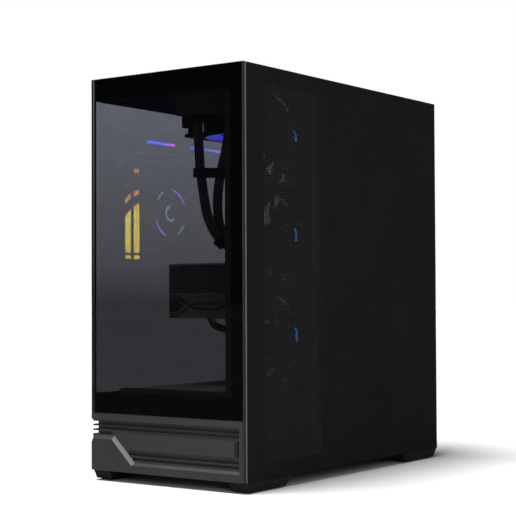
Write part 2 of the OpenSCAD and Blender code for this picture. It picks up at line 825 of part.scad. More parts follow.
// Clips that hold the two tubes side by side: centre, across, along, spacing
clip_places = [
    [[-0.5, -133.9, 373.4], [28, 3.4, -7], [0.06, -0.05, 0.98], 28.6],
    [[11, -122.5, 294], [4.5, -16.4, -7.3], [0.48, 0.55, -0.68], 18.5]
];
module tube_clips() {
    wall = 1.8;
    room = 3.4;
    color("#1b1b1d") for (c = clip_places) {
        z = unit(c[2]);
        x = unit(c[1] - (c[1] * z) * z);
        y = cross(z, x);
        multmatrix([
            [x[0], y[0], z[0], c[0][0]],
            [x[1], y[1], z[1], c[0][1]],
            [x[2], y[2], z[2], c[0][2]]])
            translate([0, 0, -6]) linear_extrude(12) difference() {
                slot_2d(c[3] + tube_d + room + 2 * wall, tube_d + room + 2 * wall);
                slot_2d(c[3] + tube_d + room, tube_d + room);
            }
    }
}

// ---- Graphics card ----
card_low = card_z - card_t;
card_split = card_low + 30;
module card_shroud() {
    x0 = card_x - card_w;
    y1 = card_y + card_len - 3;
    color("#1d1d20") difference() {
        block([x0, card_y, card_low], [card_x, y1, card_split]);
        block([x0 + 2, card_y + 2, card_low + 16], [card_x - 2, y1 - 2, card_split + 1]);
        for (y = card_fan_y) rod_z([card_fan_x, y, card_low - 1], card_fan_r + 1.5, 20);
    }
    // Spokes that carry the fan motors
    color("#1d1d20") for (y = card_fan_y) translate([card_fan_x, y, 0]) {
        difference() {
            union() {
                rod_z([0, 0, card_low + 6], 14, 12);
                for (a = [0 : 90 : 270])
                    rotate([0, 0, a])
                        block([5, -2, card_low + 14.6], [card_fan_r + 3, 2, card_low + 18]);
            }
            rod_z([0, 0, card_low + 5], shaft_r + 0.05, 10);
        }
    }
}

module card_heatsink() {
    x0 = card_x - card_w + 16;
    x1 = card_x - 6;
    y0 = card_y + 6;
    y1 = card_y + card_len - 8;
    fins = 44;
    pitch = (y1 - y0) / fins;
    color("#8a8c90") difference() {
        block([x0, y0, card_low + 18.5], [x1, y1, card_z - 10]);
        for (k = [0 : fins - 1])
            block([x0 - 1, y0 + (k + 0.35) * pitch, card_low + 17],
                  [x1 + 1, y0 + (k + 0.85) * pitch, card_z - 16]);
    }
}

module card_board() {
    x0 = card_x - card_w;
    color("#161617") {
        // Circuit board with its edge connector
        block([x0 + 14.5, card_y + 60, card_z - 8],
              [x_board - 11.4, card_y + card_len - 4, card_z - 6.4]);
        block([x_board - 11.4, y_board + 105, card_z - 8],
              [x_board - 3, y_board + 189, card_z - 6.4]);
        // Power socket on the outer edge
        block([x0 - 1, -14, card_z - 20], [x0 + 14, 6, card_z - 8.2]);
    }
    // Backplate folded down over the far end
    color("#202023") difference() {
        block([x0, card_y, card_split + 0.3], [card_x, card_y + card_len - 3, card_z]);
        block([x0 - 1, card_y + 2, card_split - 1], [card_x + 1, card_y + card_len, card_z - 2.5]);
        for (x = [x0 + 19.5, card_fan_x, card_x - 19.5]) rod_y([x, card_y - 1, card_z - 9.5], 1.6, 4);
        block([x0 - 1, -14.3, card_z - 20.3], [x0 + 3, 6.3, card_z - 7.9]);
    }
}

module card_bracket() {
    y = y_back - sheet - 1.2;
    color("#9a9ca0") difference() {
        block([x_board - 106, y, slot_z - 2 * slot_pitch - 9], [x_board - 1, y + 1.2, slot_z + 9]);
        // Display sockets
        for (k = [0 : 3])
            block([x_board - 96 + 21 * k, y - 1, slot_z - 3.5],
                  [x_board - 79 + 21 * k, y + 3, slot_z + 3.5]);
        for (k = [0 : 13])
            block([x_board - 98 + 6 * k, y - 1, slot_z - 2 * slot_pitch - 4],
                  [x_board - 94 + 6 * k, y + 3, slot_z - 10]);
    }
}

module card_rotor(k) {
    color("#242428") translate([card_fan_x, card_fan_y[k], card_low + 1.2])
        card_rotor_shape();
}

module card_rotor_shape() {
    hub = 17;
    difference() {
        cylinder(r = hub, h = 12.2);
        rod_z([0, 0, 2], hub - 2.4, 12);
    }
    rod_z([0, 0, 1], shaft_r, 11);
    for (i = [0 : card_blades - 1])
        rotate([0, 0, i * 360 / card_blades])
            translate([hub - 1, 0, 6.4]) rotate([32, 0, 0])
                cube_on_x(card_fan_r - hub - 1, 13, 1.4);
}

module slot_covers() {
    y = y_back - sheet - 1.2;
    color("#1c1c1f") for (k = [3 : 6])
        difference() {
            block([x_board - 106, y, slot_z - k * slot_pitch - 9],
                  [x_board - 10, y + 1.2, slot_z - k * slot_pitch + 9]);
            for (i = [0 : 9])
                block([x_board - 100 + 8 * i, y - 1, slot_z - k * slot_pitch - 5],
                      [x_board - 96 + 8 * i, y + 3, slot_z - k * slot_pitch + 5]);
        }
}

// ---- Power supply ----
psu_wall = 1.2;
module psu_case() {
    lo = [psu_x, psu_y, psu_z];
    hi = [psu_x + psu_w, psu_y + psu_l - psu_wall - seam, psu_z + psu_h];
    low = lo[2] + psu_wall + seam;
    high = hi[2] - psu_wall - seam;
    color("#18181a") {
        block([lo[0], lo[1], hi[2] - psu_wall], hi);
        for (x = [lo[0], hi[0] - psu_wall])
            block([x, lo[1] + psu_wall + seam, low], [x + psu_wall, hi[1], high]);
        block([lo[0], lo[1], low], [hi[0], lo[1] + psu_wall, high]);
    }
    // Base with the intake grille and the fan motor on it
    color("#18181a") difference() {
        union() {
            difference() {
                block(lo, [hi[0], hi[1], lo[2] + psu_wall]);
                rod_z([psu_fan_x, psu_fan_y, psu_z - 1], 60, 3);
            }
            translate([psu_fan_x, psu_fan_y, psu_z]) {
                rod_z([0, 0, 0], 18, 1.2);
                rod_z([0, 0, 0], 4, 14);
                for (r = [28 : 10 : 58]) difference() {
                    rod_z([0, 0, 0], r + 0.8, 1.2);
                    rod_z([0, 0, -1], r - 0.8, 4);
                }
                for (a = [0 : 45 : 315])
                    rotate([0, 0, a]) block([16, -0.8, 0], [60.5, 0.8, 1.2]);
            }
        }
        rod_z([psu_fan_x, psu_fan_y, psu_z + 2], shaft_r + 0.05, 13);
    }
}

module psu_rear() {
    y1 = psu_y + psu_l;
    color("#18181a") difference() {
        block([psu_x, y1 - psu_wall, psu_z], [psu_x + psu_w, y1, psu_z + psu_h]);
        // Exhaust slots
        for (i = [0 : 11], j = [0 : 1])
            block([psu_x + 9 + 7 * i, y1 - 3, psu_z + 9 + 36 * j],
                  [psu_x + 13 + 7 * i, y1 + 1, psu_z + 41 + 36 * j]);
        // Seats for the inlet and the switch
        block([inlet_x - 14, y1 - 3, inlet_z - 10.5], [inlet_x + 14, y1 + 1, inlet_z + 10.5]);
        block([switch_x - 9.5, y1 - 3, switch_z - 6.5], [switch_x + 9.5, y1 + 1, switch_z + 6.5]);
    }
}

module psu_fan_rotor() {
    color("#1f1f22") translate([psu_fan_x, psu_fan_y, psu_z + 22]) mirror([0, 0, 1]) {
        difference() {
            cylinder(r = hub_r, h = 18);
            rod_z([0, 0, 2], hub_r - 3, 18);
        }
        rod_z([0, 0, 1], shaft_r, 17.5);
        for (i = [0 : fan_blades - 1])
            rotate([0, 0, i * 360 / fan_blades])
                translate([hub_r - 1, 0, 10]) rotate([38, 0, 0])
                    cube_on_x(53.5 - hub_r, 17, 1.6);
    }
}

module psu_inlet() {
    y = psu_y + psu_l;
    color("#101011") {
        difference() {
            block([inlet_x - 13.7, y - 22, inlet_z - 10.2], [inlet_x + 13.7, y + 0.8, inlet_z + 10.2]);
            block([inlet_x - 12, y - 18, inlet_z - 8], [inlet_x + 12, y + 2, inlet_z + 8]);
        }
    }
    // Earth, line and neutral blades
    color("silver") for (p = [[0, 3.6], [-7, -1.4], [7, -1.4]])
        block([inlet_x + p[0] - 1, y - 18.5, inlet_z + p[1] - 2],
              [inlet_x + p[0] + 1, y - 3, inlet_z + p[1] + 2]);
}

// Rocker on a pin along X, at rest with its lower half pressed in
rocker_tilt = 8;
module psu_switch() {
    y = psu_y + psu_l - 1.5;
    color("#0e0e0f") translate([switch_x, y, switch_z]) rotate([-rocker_tilt, 0, 0]) {
        difference() {
            rotate([0, 90, 0]) translate([0, 0, -8.5]) cylinder(r = 6, h = 17);
            block([-10, 2.2, -10], [10, 10, 10]);
            block([-10, -10, -10], [10, -2.5, 10]);
        }
    }
}

// ---- Outer panels ----
module right_panel() {
    x0 = x_right - sheet;
    y0 = y_front + 0.4;
    edge = 2;
    color("#1a191c") {
        difference() {
            union() {
                block([x0, y0, z_body], [x_right, y_rear, z_top]);
                // Folded front edge beside the glass
                block([x_right - edge, y0, z_body], [x_right, y0 + 3, z_top]);
            }
            translate([0, side_fan_y - 0.2, z_body + 236.5]) sideways(x0 - 1, 4)
                vents_2d(119, 434, 12, 11);
        }
        // Folded rear edge
        block([x0 - 6, y_rear - sheet, z_body + 2], [x0, y_rear, z_roof - 2]);
        for (p = catch_right) rod_x([x_rail_right - 1.5, p[0], p[1]], 3, 4);
    }
}

module left_glass() {
    color("#30343a", 0.4)
        block([x_left, y_pane + gap, z_glass], [x_pane, y_rear, z_top]);
}

module left_glass_band() {
    x1 = x_pane + band_t;
    y0 = y_pane + gap + 1.2;
    // Ends short of the rear panel and roof
    color("#050506") {
        block([x_pane, y0 + 6, z_top - band_top], [x1, y_rear, z_roof - 0.5]);
        block([x_pane, y0 + 6, z_glass], [x1, y_rear, z_glass + band_bottom - 1.3]);
        block([x_pane, y_rear - 22, z_glass + band_bottom - 1.3], [x1, y_rear, z_top - band_top]);
        for (p = catch_left) rod_x([x1, p[0], p[1]], 3, 4);
    }
}

module front_glass() {
    color("#30343a", 0.4)
        block([x_left, y_front, z_glass], [x_glass, y_pane, z_top]);
}

module front_glass_band() {
    y1 = y_pane + band_t;
    x0 = x_pane + 0.3;
    color("#050506") {
        block([x0, y_pane, z_top - band_top], [x_glass, y1, z_top]);
        block([x0, y_pane, z_glass], [x_glass, y1, z_glass + band_bottom]);
        block([x_glass - band_side, y_pane, z_glass + band_bottom],
              [x_glass, y1, z_top - band_top]);
        for (p = catch_front) rod_y([p[0], y1, p[1]], 3, 5);
    }
}

module top_filter() {
    lo = [x_pane + gap + sheet + 0.5, y_pane + band_t + gap + 30.5, z_top - 4];
    hi = [x_right - 2 * sheet - gap - 0.5, y_rear - sheet - 0.5, z_top - 0.4];
    rim = 9;
    color("#151517") difference() {
        block(lo, hi);
        translate([(lo[0] + hi[0]) / 2, (lo[1] + hi[1]) / 2, z_top - 6])
            linear_extrude(8) vents_2d(hi[0] - lo[0] - 2 * rim, hi[1] - lo[1] - 2 * rim, 12, 9);
    }
}

module base_filter() {
    z0 = z_body - 3.6;
    y0 = psu_fan_y - 76;
    color("#151517") difference() {
        block([psu_fan_x - 71.5, y0, z0], [psu_fan_x + 71.5, y_rear - 1, z0 + 3]);
        translate([psu_fan_x, psu_fan_y, z0 - 1]) linear_extrude(5) vents_2d(126, 126, 10, 3);
        // Finger grip
        block([psu_fan_x - 20, y_rear - 9, z0 - 1], [psu_fan_x + 20, y_rear - 4, z0 + 1.6]);
    }
}

// ---- Fasteners and cables ----
module screws() {
    color("silver") {
        // Mainboard standoffs and screws
        for (p = board_holes) {
            rod_x([x_board + board_t, p[0], p[1]], 3, standoff);
            rod_x([x_board - 1.6, p[0], p[1]], 3.2, 1.6);
        }
        // Power supply screws
        for (p = [[6, 16], [6, 80], [144, 6], [120, 80]])
            rod_y([psu_x + p[0], y_back, psu_z + p[1]], 3.4, 2);
        // Rear fan screws
        for (x = [-1, 1], z = [-1, 1])
            rod_y([rear_fan_x + x * fan_hole, y_back, rear_fan_z + z * fan_hole], 3.6, 1.8);
    }
}

module power_cables() {
    color("#141414") {
        tube(card_cable_route, 10, 3, 8, [0, 1, 0]);
        tube(board_cable_route, 13, 3, 8, [0, 0, 1]);
    }
}

base_pan();
rear_panel();
board_tray();
top_panel();
control_deck();
front_frame();
side_rails();
side_fan_bracket();
psu_shroud();
front_trim();
left_skirt();
feet();
foot_pads();
top_io_board();
top_io_ports();
power_button();
light_button();
mainboard();
rear_io_ports();
board_heatsinks();
board_connectors();
memory_sticks();
pump_head();
radiator();
coolant_tubes();
tube_clips();
color("#1d1d20") place_top_fan(0) fan_frame();  // top_fan_frame_front
color("#1d1d20") place_top_fan(1) fan_frame();  // top_fan_frame_rear
color("#3a3a44") place_top_fan(0) fan_rotor();  // top_fan_rotor_front
color("#3a3a44") place_top_fan(1) fan_rotor();  // top_fan_rotor_rear
color("#1d1d20") place_side_fan(0) fan_frame();  // side_fan_frame_top
color("#1d1d20") place_side_fan(1) fan_frame();  // side_fan_frame_middle
color("#1d1d20") place_side_fan(2) fan_frame();  // side_fan_frame_bottom
color("#3a3a44") place_side_fan(0) fan_rotor();  // side_fan_rotor_top
color("#3a3a44") place_side_fan(1) fan_rotor();  // side_fan_rotor_middle
color("#3a3a44") place_side_fan(2) fan_rotor();  // side_fan_rotor_bottom
color("#1d1d20") place_rear_fan() fan_frame();  // rear_fan_frame
color("#3a3a44") place_rear_fan() fan_rotor();  // rear_fan_rotor
card_shroud();
card_heatsink();
card_board();
card_bracket();
card_rotor(0);  // card_rotor_front
card_rotor(1);  // card_rotor_middle
card_rotor(2);  // card_rotor_rear
psu_case();
psu_rear();
psu_fan_rotor();
psu_switch();
psu_inlet();
right_panel();
left_glass();
left_glass_band();
front_glass();
front_glass_band();
top_filter();
base_filter();
slot_covers();
screws();
power_cables();
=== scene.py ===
import json
import math
import random

import bmesh
import bpy
import numpy as np
from mathutils import Matrix, Vector


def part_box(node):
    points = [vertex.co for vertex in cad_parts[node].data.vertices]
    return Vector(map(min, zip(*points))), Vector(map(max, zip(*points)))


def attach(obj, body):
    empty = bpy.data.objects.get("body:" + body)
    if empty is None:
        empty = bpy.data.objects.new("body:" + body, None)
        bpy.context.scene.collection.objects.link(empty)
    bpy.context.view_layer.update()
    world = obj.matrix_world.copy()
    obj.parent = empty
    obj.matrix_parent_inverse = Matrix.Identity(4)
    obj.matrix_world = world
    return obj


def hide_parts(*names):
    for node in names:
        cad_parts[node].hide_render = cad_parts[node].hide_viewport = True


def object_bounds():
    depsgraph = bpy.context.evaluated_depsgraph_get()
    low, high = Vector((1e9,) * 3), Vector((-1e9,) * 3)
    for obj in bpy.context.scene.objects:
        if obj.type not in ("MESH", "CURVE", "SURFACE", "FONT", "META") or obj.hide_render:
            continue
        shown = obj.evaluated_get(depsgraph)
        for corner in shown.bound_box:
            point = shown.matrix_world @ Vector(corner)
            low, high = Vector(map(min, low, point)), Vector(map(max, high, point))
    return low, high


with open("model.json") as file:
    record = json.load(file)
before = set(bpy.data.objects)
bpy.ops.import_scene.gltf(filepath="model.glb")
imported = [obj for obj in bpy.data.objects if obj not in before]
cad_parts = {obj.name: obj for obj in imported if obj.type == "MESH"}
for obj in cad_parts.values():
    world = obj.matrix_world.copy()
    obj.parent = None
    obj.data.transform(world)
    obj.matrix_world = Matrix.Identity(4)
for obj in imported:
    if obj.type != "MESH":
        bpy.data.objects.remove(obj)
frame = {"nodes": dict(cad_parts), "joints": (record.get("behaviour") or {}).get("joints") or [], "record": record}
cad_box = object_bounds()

random.seed(7)
MM = 0.001
scene = bpy.context.scene
scene.view_settings.view_transform = "Standard"
scene.view_settings.look = "None"
scene.view_settings.exposure = 0.0
scene.view_settings.gamma = 1.0
nodes_of = frame["nodes"]
body_of_node = {n: b for b, names in frame["record"]["behaviour"]["bodies"].items() for n in names}
slot_of_node = {s["node"]: s["material_slot"] for s in frame["record"]["subparts"]}
joints = {j["name"]: j for j in frame["joints"]}


# ---------------------------------------------------------------- camera
CAMERA_AT = (1.03504, -1.46801, 0.22133)
CAMERA_TURN = (35.866, 1.6115, -0.233)  # yaw, pitch and roll in degrees
LENS, SENSOR = 96.244, 36  # mm


def add_camera():
    yaw, pitch, roll = (math.radians(a) for a in CAMERA_TURN)
    look = Vector((-math.sin(yaw) * math.cos(pitch), math.cos(yaw) * math.cos(pitch),
                   math.sin(pitch)))
    flat_right = Vector((math.cos(yaw), math.sin(yaw), 0))
    flat_up = flat_right.cross(look)
    right = math.cos(roll) * flat_right + math.sin(roll) * flat_up
    up = -math.sin(roll) * flat_right + math.cos(roll) * flat_up
    cam = bpy.data.objects.new("camera", bpy.data.cameras.new("camera"))
    cam.data.lens = LENS
    cam.data.sensor_width = SENSOR
    cam.data.clip_start = 0.05
    m = Matrix((right, up, -look)).transposed().to_4x4()
    m.translation = CAMERA_AT
    cam.matrix_world = m
    scene.collection.objects.link(cam)
    scene.camera = cam


# ---------------------------------------------------------------- materials
BLACK, WHITE = (0, 0, 0), (1, 1, 1)


def new_material(name):
    m = bpy.data.materials.new(name)
    m.use_nodes = True
    nt = m.node_tree
    nt.nodes.clear()
    out = nt.nodes.new("ShaderNodeOutputMaterial")
    return m, nt, out


def feed(nt, socket, value):
    """Gives a socket a number, a vector, a colour or another node's output."""
    if isinstance(value, tuple):
        socket.default_value = (*value, 1) if len(socket.default_value) == 4 else value
    elif isinstance(value, (int, float)):
        socket.default_value = value
    else:
        nt.links.new(value, socket)


def add(nt, kind, inputs):
    """A shader node with its sockets fed."""
    n = nt.nodes.new("ShaderNode" + kind)
    for key, value in inputs.items():
        feed(nt, n.inputs[key], value)
    return n


def calc(nt, operation, a, b, clamp=False):
    n = add(nt, "Math", {0: a, 1: b})
    n.operation = operation
    n.use_clamp = clamp
    return n.outputs[0]


def map_range(nt, value, span, to=(0.0, 1.0)):
    return add(nt, "MapRange", {"Value": value, "From Min": span[0], "From Max": span[1],
                                "To Min": to[0], "To Max": to[1]}).outputs["Result"]


def noise(nt, scale, detail=3.0, rough=0.5, stretch=None):
    place = nt.nodes.new("ShaderNodeTexCoord").outputs["Object"]
    if stretch:
        place = add(nt, "Mapping", {"Scale": stretch, "Vector": place}).outputs["Vector"]
    return add(nt, "TexNoise", {"Scale": scale, "Detail": detail, "Roughness": rough,
                                "Vector": place}).outputs["Fac"]


def ramp(nt, value, stops):
    r = add(nt, "ValToRGB", {"Fac": value})
    els = r.color_ramp.elements
    while len(els) < len(stops):
        els.new(0.5)
    for e, (p, c) in zip(els, stops):
        e.position = p
        e.color = (*c, 1)
    return r.outputs["Color"]


def edge_mask(nt, radius):
    """1 on sharp edges, 0 on flat faces."""
    bev = add(nt, "Bevel", {"Radius": radius})
    bev.samples = 4
    geo = nt.nodes.new("ShaderNodeNewGeometry")
    dot = add(nt, "VectorMath", {0: bev.outputs["Normal"], 1: geo.outputs["Normal"]})
    dot.operation = "DOT_PRODUCT"
    return map_range(nt, dot.outputs["Value"], (0.98, 0.80))


def mix_color(nt, fac, a, b):
    mx = nt.nodes.new("ShaderNodeMix")
    mx.data_type = "RGBA"
    for key, value in (("Factor", fac), (6, a), (7, b)):
        feed(nt, mx.inputs[key], value)
    return mx.outputs[2]


def mix_shader(nt, fac, a, b):
    return add(nt, "MixShader", {"Fac": fac, 1: a, 2: b}).outputs[0]


def raise_surface(nt, p, height, strength, distance):
    """Bump on a Principled shader."""
    b = add(nt, "Bump", {"Strength": strength, "Distance": distance, "Height": height})
    nt.links.new(b.outputs["Normal"], p.inputs["Normal"])


def scaled(color, k):
    return tuple(min(1.0, c * k) for c in color)


def principled(name, inputs):
    m, nt, out = new_material(name)
    p = add(nt, "BsdfPrincipled", inputs)
    nt.links.new(p.outputs[0], out.inputs["Surface"])
    return m, nt, p


def finish(name, color, rough, metallic=0.0, grain=1400, bump=0.2, vary=0.18, wear=0.0,
           wear_color=None, streak=None, spec=0.5, rough_vary=0.08):
    """A surface with grain, colour drift, roughness drift and worn edges."""
    m, nt, p = principled(name, {"Metallic": metallic, "Specular IOR Level": spec})
    broad, fine = noise(nt, 9, 4, 0.6), noise(nt, grain, 2, 0.6, streak)
    col = ramp(nt, broad, [(0.3, scaled(color, 1 - vary)), (0.7, scaled(color, 1 + vary))])
    speck = ramp(nt, fine, [(0.35, BLACK), (0.75, WHITE)])
    col = mix_color(nt, calc(nt, "MULTIPLY", speck, 0.35), col, scaled(color, 1 + 2.2 * vary))
    if wear:
        scratch = ramp(nt, noise(nt, 160, 5, 0.7), [(0.42, BLACK), (0.62, WHITE)])
        worn = calc(nt, "MULTIPLY", edge_mask(nt, 0.7 * MM), scratch)
        col = mix_color(nt, calc(nt, "MULTIPLY", worn, wear), col, wear_color or scaled(color, 4))
    smudge = map_range(nt, noise(nt, 22, 5, 0.65), (0.3, 0.7),
                       (max(0.02, rough - rough_vary), min(1.0, rough + rough_vary)))
    nt.links.new(col, p.inputs["Base Color"])
    nt.links.new(smudge, p.inputs["Roughness"])
    raise_surface(nt, p, fine, bump, 0.2 * MM)
    return m


def smoked_glass(name, tint, haze=0.03):
    """A tinted pane: light passes it darkened, and it mirrors more at a flat angle."""
    m, nt, out = new_material(name)
    clear = add(nt, "BsdfTransparent", {"Color": tint})
    dust = add(nt, "BsdfPrincipled", {"Base Color": (0.01, 0.01, 0.011), "Metallic": 0.0,
                                      "Specular IOR Level": 0.0})
    smear = map_range(nt, noise(nt, 14, 4, 0.6), (0.35, 0.75), (0.004, 0.012))
    mirror = add(nt, "BsdfGlossy", {"Color": (0.9, 0.92, 0.95), "Roughness": smear})
    body = mix_shader(nt, haze, clear.outputs[0], dust.outputs[0])
    # Schlick's curve on the face that light enters, standing for both faces
    facing = add(nt, "LayerWeight", {"Blend": 0.5})
    curve = calc(nt, "POWER", facing.outputs["Facing"], 5.0)
    side = nt.nodes.new("ShaderNodeNewGeometry")
    entry = calc(nt, "SUBTRACT", map_range(nt, curve, (0.0, 1.0), (0.09, 1.0)),
                 side.outputs["Backfacing"], clamp=True)
    nt.links.new(mix_shader(nt, entry, body, mirror.outputs[0]), out.inputs["Surface"])
    return m


def glow(name):
    """A light strip whose colour and strength are stored on the mesh's corners."""
    m, nt, p = principled(name, {"Base Color": (0.02, 0.02, 0.02), "Roughness": 0.45,
                                 "Emission Strength": 1.0})
    a = nt.nodes.new("ShaderNodeAttribute")
    a.attribute_name = "glow"
    nt.links.new(a.outputs["Color"], p.inputs["Emission Color"])
    return m


def braided(name, color, pitch=0.0022):
    """Crossing grooves of a woven sleeve."""
    m, nt, p = principled(name, {"Roughness": 0.55})
    place = nt.nodes.new("ShaderNodeTexCoord").outputs["Object"]
    heights = []
    for tilt in (0.7, -0.7):
        turn = add(nt, "Mapping", {"Rotation": (tilt, tilt * 0.8, 0), "Vector": place})
        w = add(nt, "TexWave", {"Scale": 1 / pitch / 6.3, "Distortion": 0.4,
                                "Vector": turn.outputs["Vector"]})
        w.bands_direction = "Z"
        heights.append(w.outputs["Fac"])
    weave = calc(nt, "MULTIPLY", *heights)
    tone = ramp(nt, weave, [(0.0, scaled(color, 0.4)), (0.8, scaled(color, 1.8))])
    nt.links.new(tone, p.inputs["Base Color"])
    raise_surface(nt, p, weave, 0.6, 0.4 * MM)
    return m


MAT = {
    "steel": finish("steel_black", (0.0122, 0.0107, 0.0119), 0.60, bump=0.25, wear=0.25,
                    wear_color=(0.03, 0.028, 0.03), spec=0.18, vary=0.10),
    "steel_inner": finish("steel_inner", (0.016, 0.016, 0.017), 0.55, wear=0.2, spec=0.25),
    # Painted light: a lighter copy of the inner black steel for the rear, base and supply parts
    "steel_rear_painted_light": finish("steel_rear_painted_light", (0.034, 0.033, 0.035), 0.5, wear=0.25, spec=0.35),
    "flange": finish("front_flange", (0.034, 0.033, 0.035), 0.5, grain=1200, wear=0.2, spec=0.3),
    "trim": finish("trim_plastic", (0.040, 0.037, 0.0395), 0.50, grain=1900, bump=0.35, wear=0.25,
                   wear_color=(0.13, 0.125, 0.13), spec=0.3, vary=0.08),
    # Painted highlight: a lighter copy of the trim plastic for the slant that faces the light
    "trim_bar_painted_highlight": finish("trim_bar_painted_highlight", (0.17, 0.165, 0.17), 0.42, grain=1900, bump=0.3, wear=0.2,
                       spec=0.4, vary=0.06),
    # Painted shade: a darker, rougher copy of the trim plastic for the faces deep in its slots
    "trim_recess_painted_shade": finish("trim_recess_painted_shade", (0.034, 0.032, 0.034), 0.65, grain=1900, bump=0.35, spec=0.2),
    # Painted highlight: a light grey copy of the panel steel, laid on the strip behind the rolled front edge
    "edge": finish("panel_edge_painted_highlight", (0.150, 0.138, 0.138), 0.40, grain=1500, bump=0.15, wear=0.1,
                   spec=0.4, vary=0.06),
    "plastic": finish("black_plastic", (0.013, 0.013, 0.014), 0.45, grain=1600, bump=0.3, wear=0.2,
                      spec=0.4),
    "gloss": finish("gloss_black", (0.006, 0.006, 0.007), 0.12, grain=500, bump=0.03,
                    rough_vary=0.04),
    "rubber": finish("rubber", (0.010, 0.010, 0.010), 0.85, grain=700, bump=0.4, spec=0.2),
    "fan": finish("fan_plastic", (0.014, 0.014, 0.016), 0.42, grain=1500, wear=0.15, spec=0.4),
    "blade": finish("fan_blades", (0.045, 0.045, 0.05), 0.35, grain=900, bump=0.1, vary=0.06),
    "pcb": finish("solder_mask", (0.010, 0.011, 0.013), 0.35, grain=420, bump=0.35, vary=0.3),
    "sink": finish("black_aluminium", (0.024, 0.024, 0.026), 0.42, metallic=0.5, grain=2200,
                   bump=0.12, streak=(1, 8, 1), wear=0.3, wear_color=(0.3, 0.3, 0.31)),
    "tank": finish("radiator_paint", (0.11, 0.105, 0.112), 0.5, grain=1300, bump=0.3, wear=0.15,
                   spec=0.35),
    "alu": finish("bare_aluminium", (0.55, 0.55, 0.57), 0.35, metallic=1.0, grain=2200, bump=0.12,
                  streak=(8, 1, 1)),
    "plated": finish("plated_steel", (0.52, 0.52, 0.54), 0.3, metallic=1.0, grain=1800, bump=0.15,
                     streak=(1, 1, 6), wear=0.1),
    "gold": finish("gold_contacts", (0.75, 0.52, 0.2), 0.3, metallic=1.0, grain=900, bump=0.1),
    "print": finish("black_print", (0.0022, 0.0022, 0.0026), 0.3, grain=900, bump=0.03, spec=0.2,
                    rough_vary=0.05),
    "mesh": finish("panel_mesh", (0.0165, 0.0150, 0.0160), 0.55, wear=0.1, spec=0.3, vary=0.08),
    # Painted light: a far lighter copy of the black steel for the supply cover's perforated top, as if lit from
    # above
    "shroud_mesh_painted_light": finish("shroud_mesh_painted_light", (0.15, 0.145, 0.15), 0.5),
    "seam": finish("satin_seam", (0.42, 0.40, 0.41), 0.35, bump=0.1, spec=0.6),
    "filter": finish("filter_frame", (0.012, 0.012, 0.013), 0.6, grain=1600, bump=0.3, spec=0.3),
    "card": finish("card_plate", (0.105, 0.102, 0.109), 0.42, metallic=0.2, grain=1700,
                   streak=(1, 6, 1), wear=0.25, spec=0.4),
    "card_shroud": finish("card_shroud", (0.19, 0.183, 0.195), 0.42, metallic=0.2, grain=1700,
                          streak=(1, 6, 1), wear=0.25, spec=0.4),
    "card_rib": finish("card_ribs", (0.018, 0.018, 0.0195), 0.45, grain=1700, wear=0.2, spec=0.3),
    # Painted shade: near-black plates set inside the card's screw holes
    "card_hole_painted_shade": finish("card_recess_painted_shade", (0.006, 0.006, 0.0065), 0.6, grain=1700, spec=0.2),
    "tube": finish("tube_rubber", (0.016, 0.0155, 0.017), 0.34, grain=1500, spec=0.7, vary=0.12),
    # Painted highlight: a far lighter copy of the tube rubber, laid on the ribs' crests
    "tube_crest_painted_highlight": finish("tube_crest_highlight_rubber", (0.17, 0.16, 0.168), 0.34, grain=1500, spec=0.8, vary=0.12),
    "sleeve": braided("cable_sleeve", (0.014, 0.014, 0.015)),
    "blue": finish("socket_blue", (0.02, 0.10, 0.40), 0.4, grain=800, bump=0.1),
    "capacitor": finish("capacitor_can", (0.35, 0.35, 0.37), 0.35, metallic=0.9, grain=1200,
                        bump=0.1),
    "glass": smoked_glass("smoked_glass", (0.62, 0.625, 0.635)),
    "glow": glow("light_strip"),
}


# ---------------------------------------------------------------- mesh helpers
def link(name, me, body, slot, replaces=()):
    o = bpy.data.objects.new(name, me)
    scene.collection.objects.link(o)
    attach(o, body)
    if replaces:
        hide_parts(*replaces)
    return o


def add_materials(me, mats):
    for m in mats if isinstance(mats, list) else [mats]:
        me.materials.append(m)


def to_mesh(name, bm, mats, sharp=32):
    """A mesh with its faces outward, smooth up to an angle in degrees, or flat where that is 0."""
    bmesh.ops.recalc_face_normals(bm, faces=bm.faces)
    me = bpy.data.meshes.new(name)
    bm.to_mesh(me)
    bm.free()
    add_materials(me, mats)
    if sharp:
        me.shade_smooth()
        me.set_sharp_from_angle(angle=math.radians(sharp))
    return me


def to_object(name, bm, mats, body, slot, replaces=(), smooth=True):
    return link(name, to_mesh(name, bm, mats, 32 if smooth else 0), body, slot, replaces)


def apply_modifiers(o):
    dg = bpy.context.evaluated_depsgraph_get()
    me = bpy.data.meshes.new_from_object(o.evaluated_get(dg))
    old = o.data
    o.modifiers.clear()
    o.data = me
    bpy.data.meshes.remove(old)


def refine(node, mats, width=0.5, segments=2, angle=28, choose=None):
    """The CAD node again with rounded edges: flat faces joined, then bevelled by width mm.

    choose(centre in mm, normal) gives a face's place in mats.
    """
    me = nodes_of[node].data.copy()
    me.name = node + "_v"
    me.materials.clear()
    bm = bmesh.new()
    bm.from_mesh(me)
    bmesh.ops.remove_doubles(bm, verts=bm.verts, dist=1e-6)
    bmesh.ops.dissolve_limit(bm, angle_limit=math.radians(1.0), verts=bm.verts,
                             edges=bm.edges)
    if choose:
        for f in bm.faces:
            f.material_index = choose(f.calc_center_median() / MM, f.normal)
    bm.to_mesh(me)
    bm.free()
    add_materials(me, mats)
    o = link(node + "_v", me, body_of_node[node], slot_of_node[node], [node])
    me.shade_smooth()
    if width:
        b = o.modifiers.new("round", "BEVEL")
        b.width = width * MM
        b.segments = segments
        b.limit_method = "ANGLE"
        b.angle_limit = math.radians(angle)
        b.use_clamp_overlap = True
        w = o.modifiers.new("normals", "WEIGHTED_NORMAL")
        w.weight = 100
        apply_modifiers(o)
    else:
        me.set_sharp_from_angle(angle=math.radians(30))


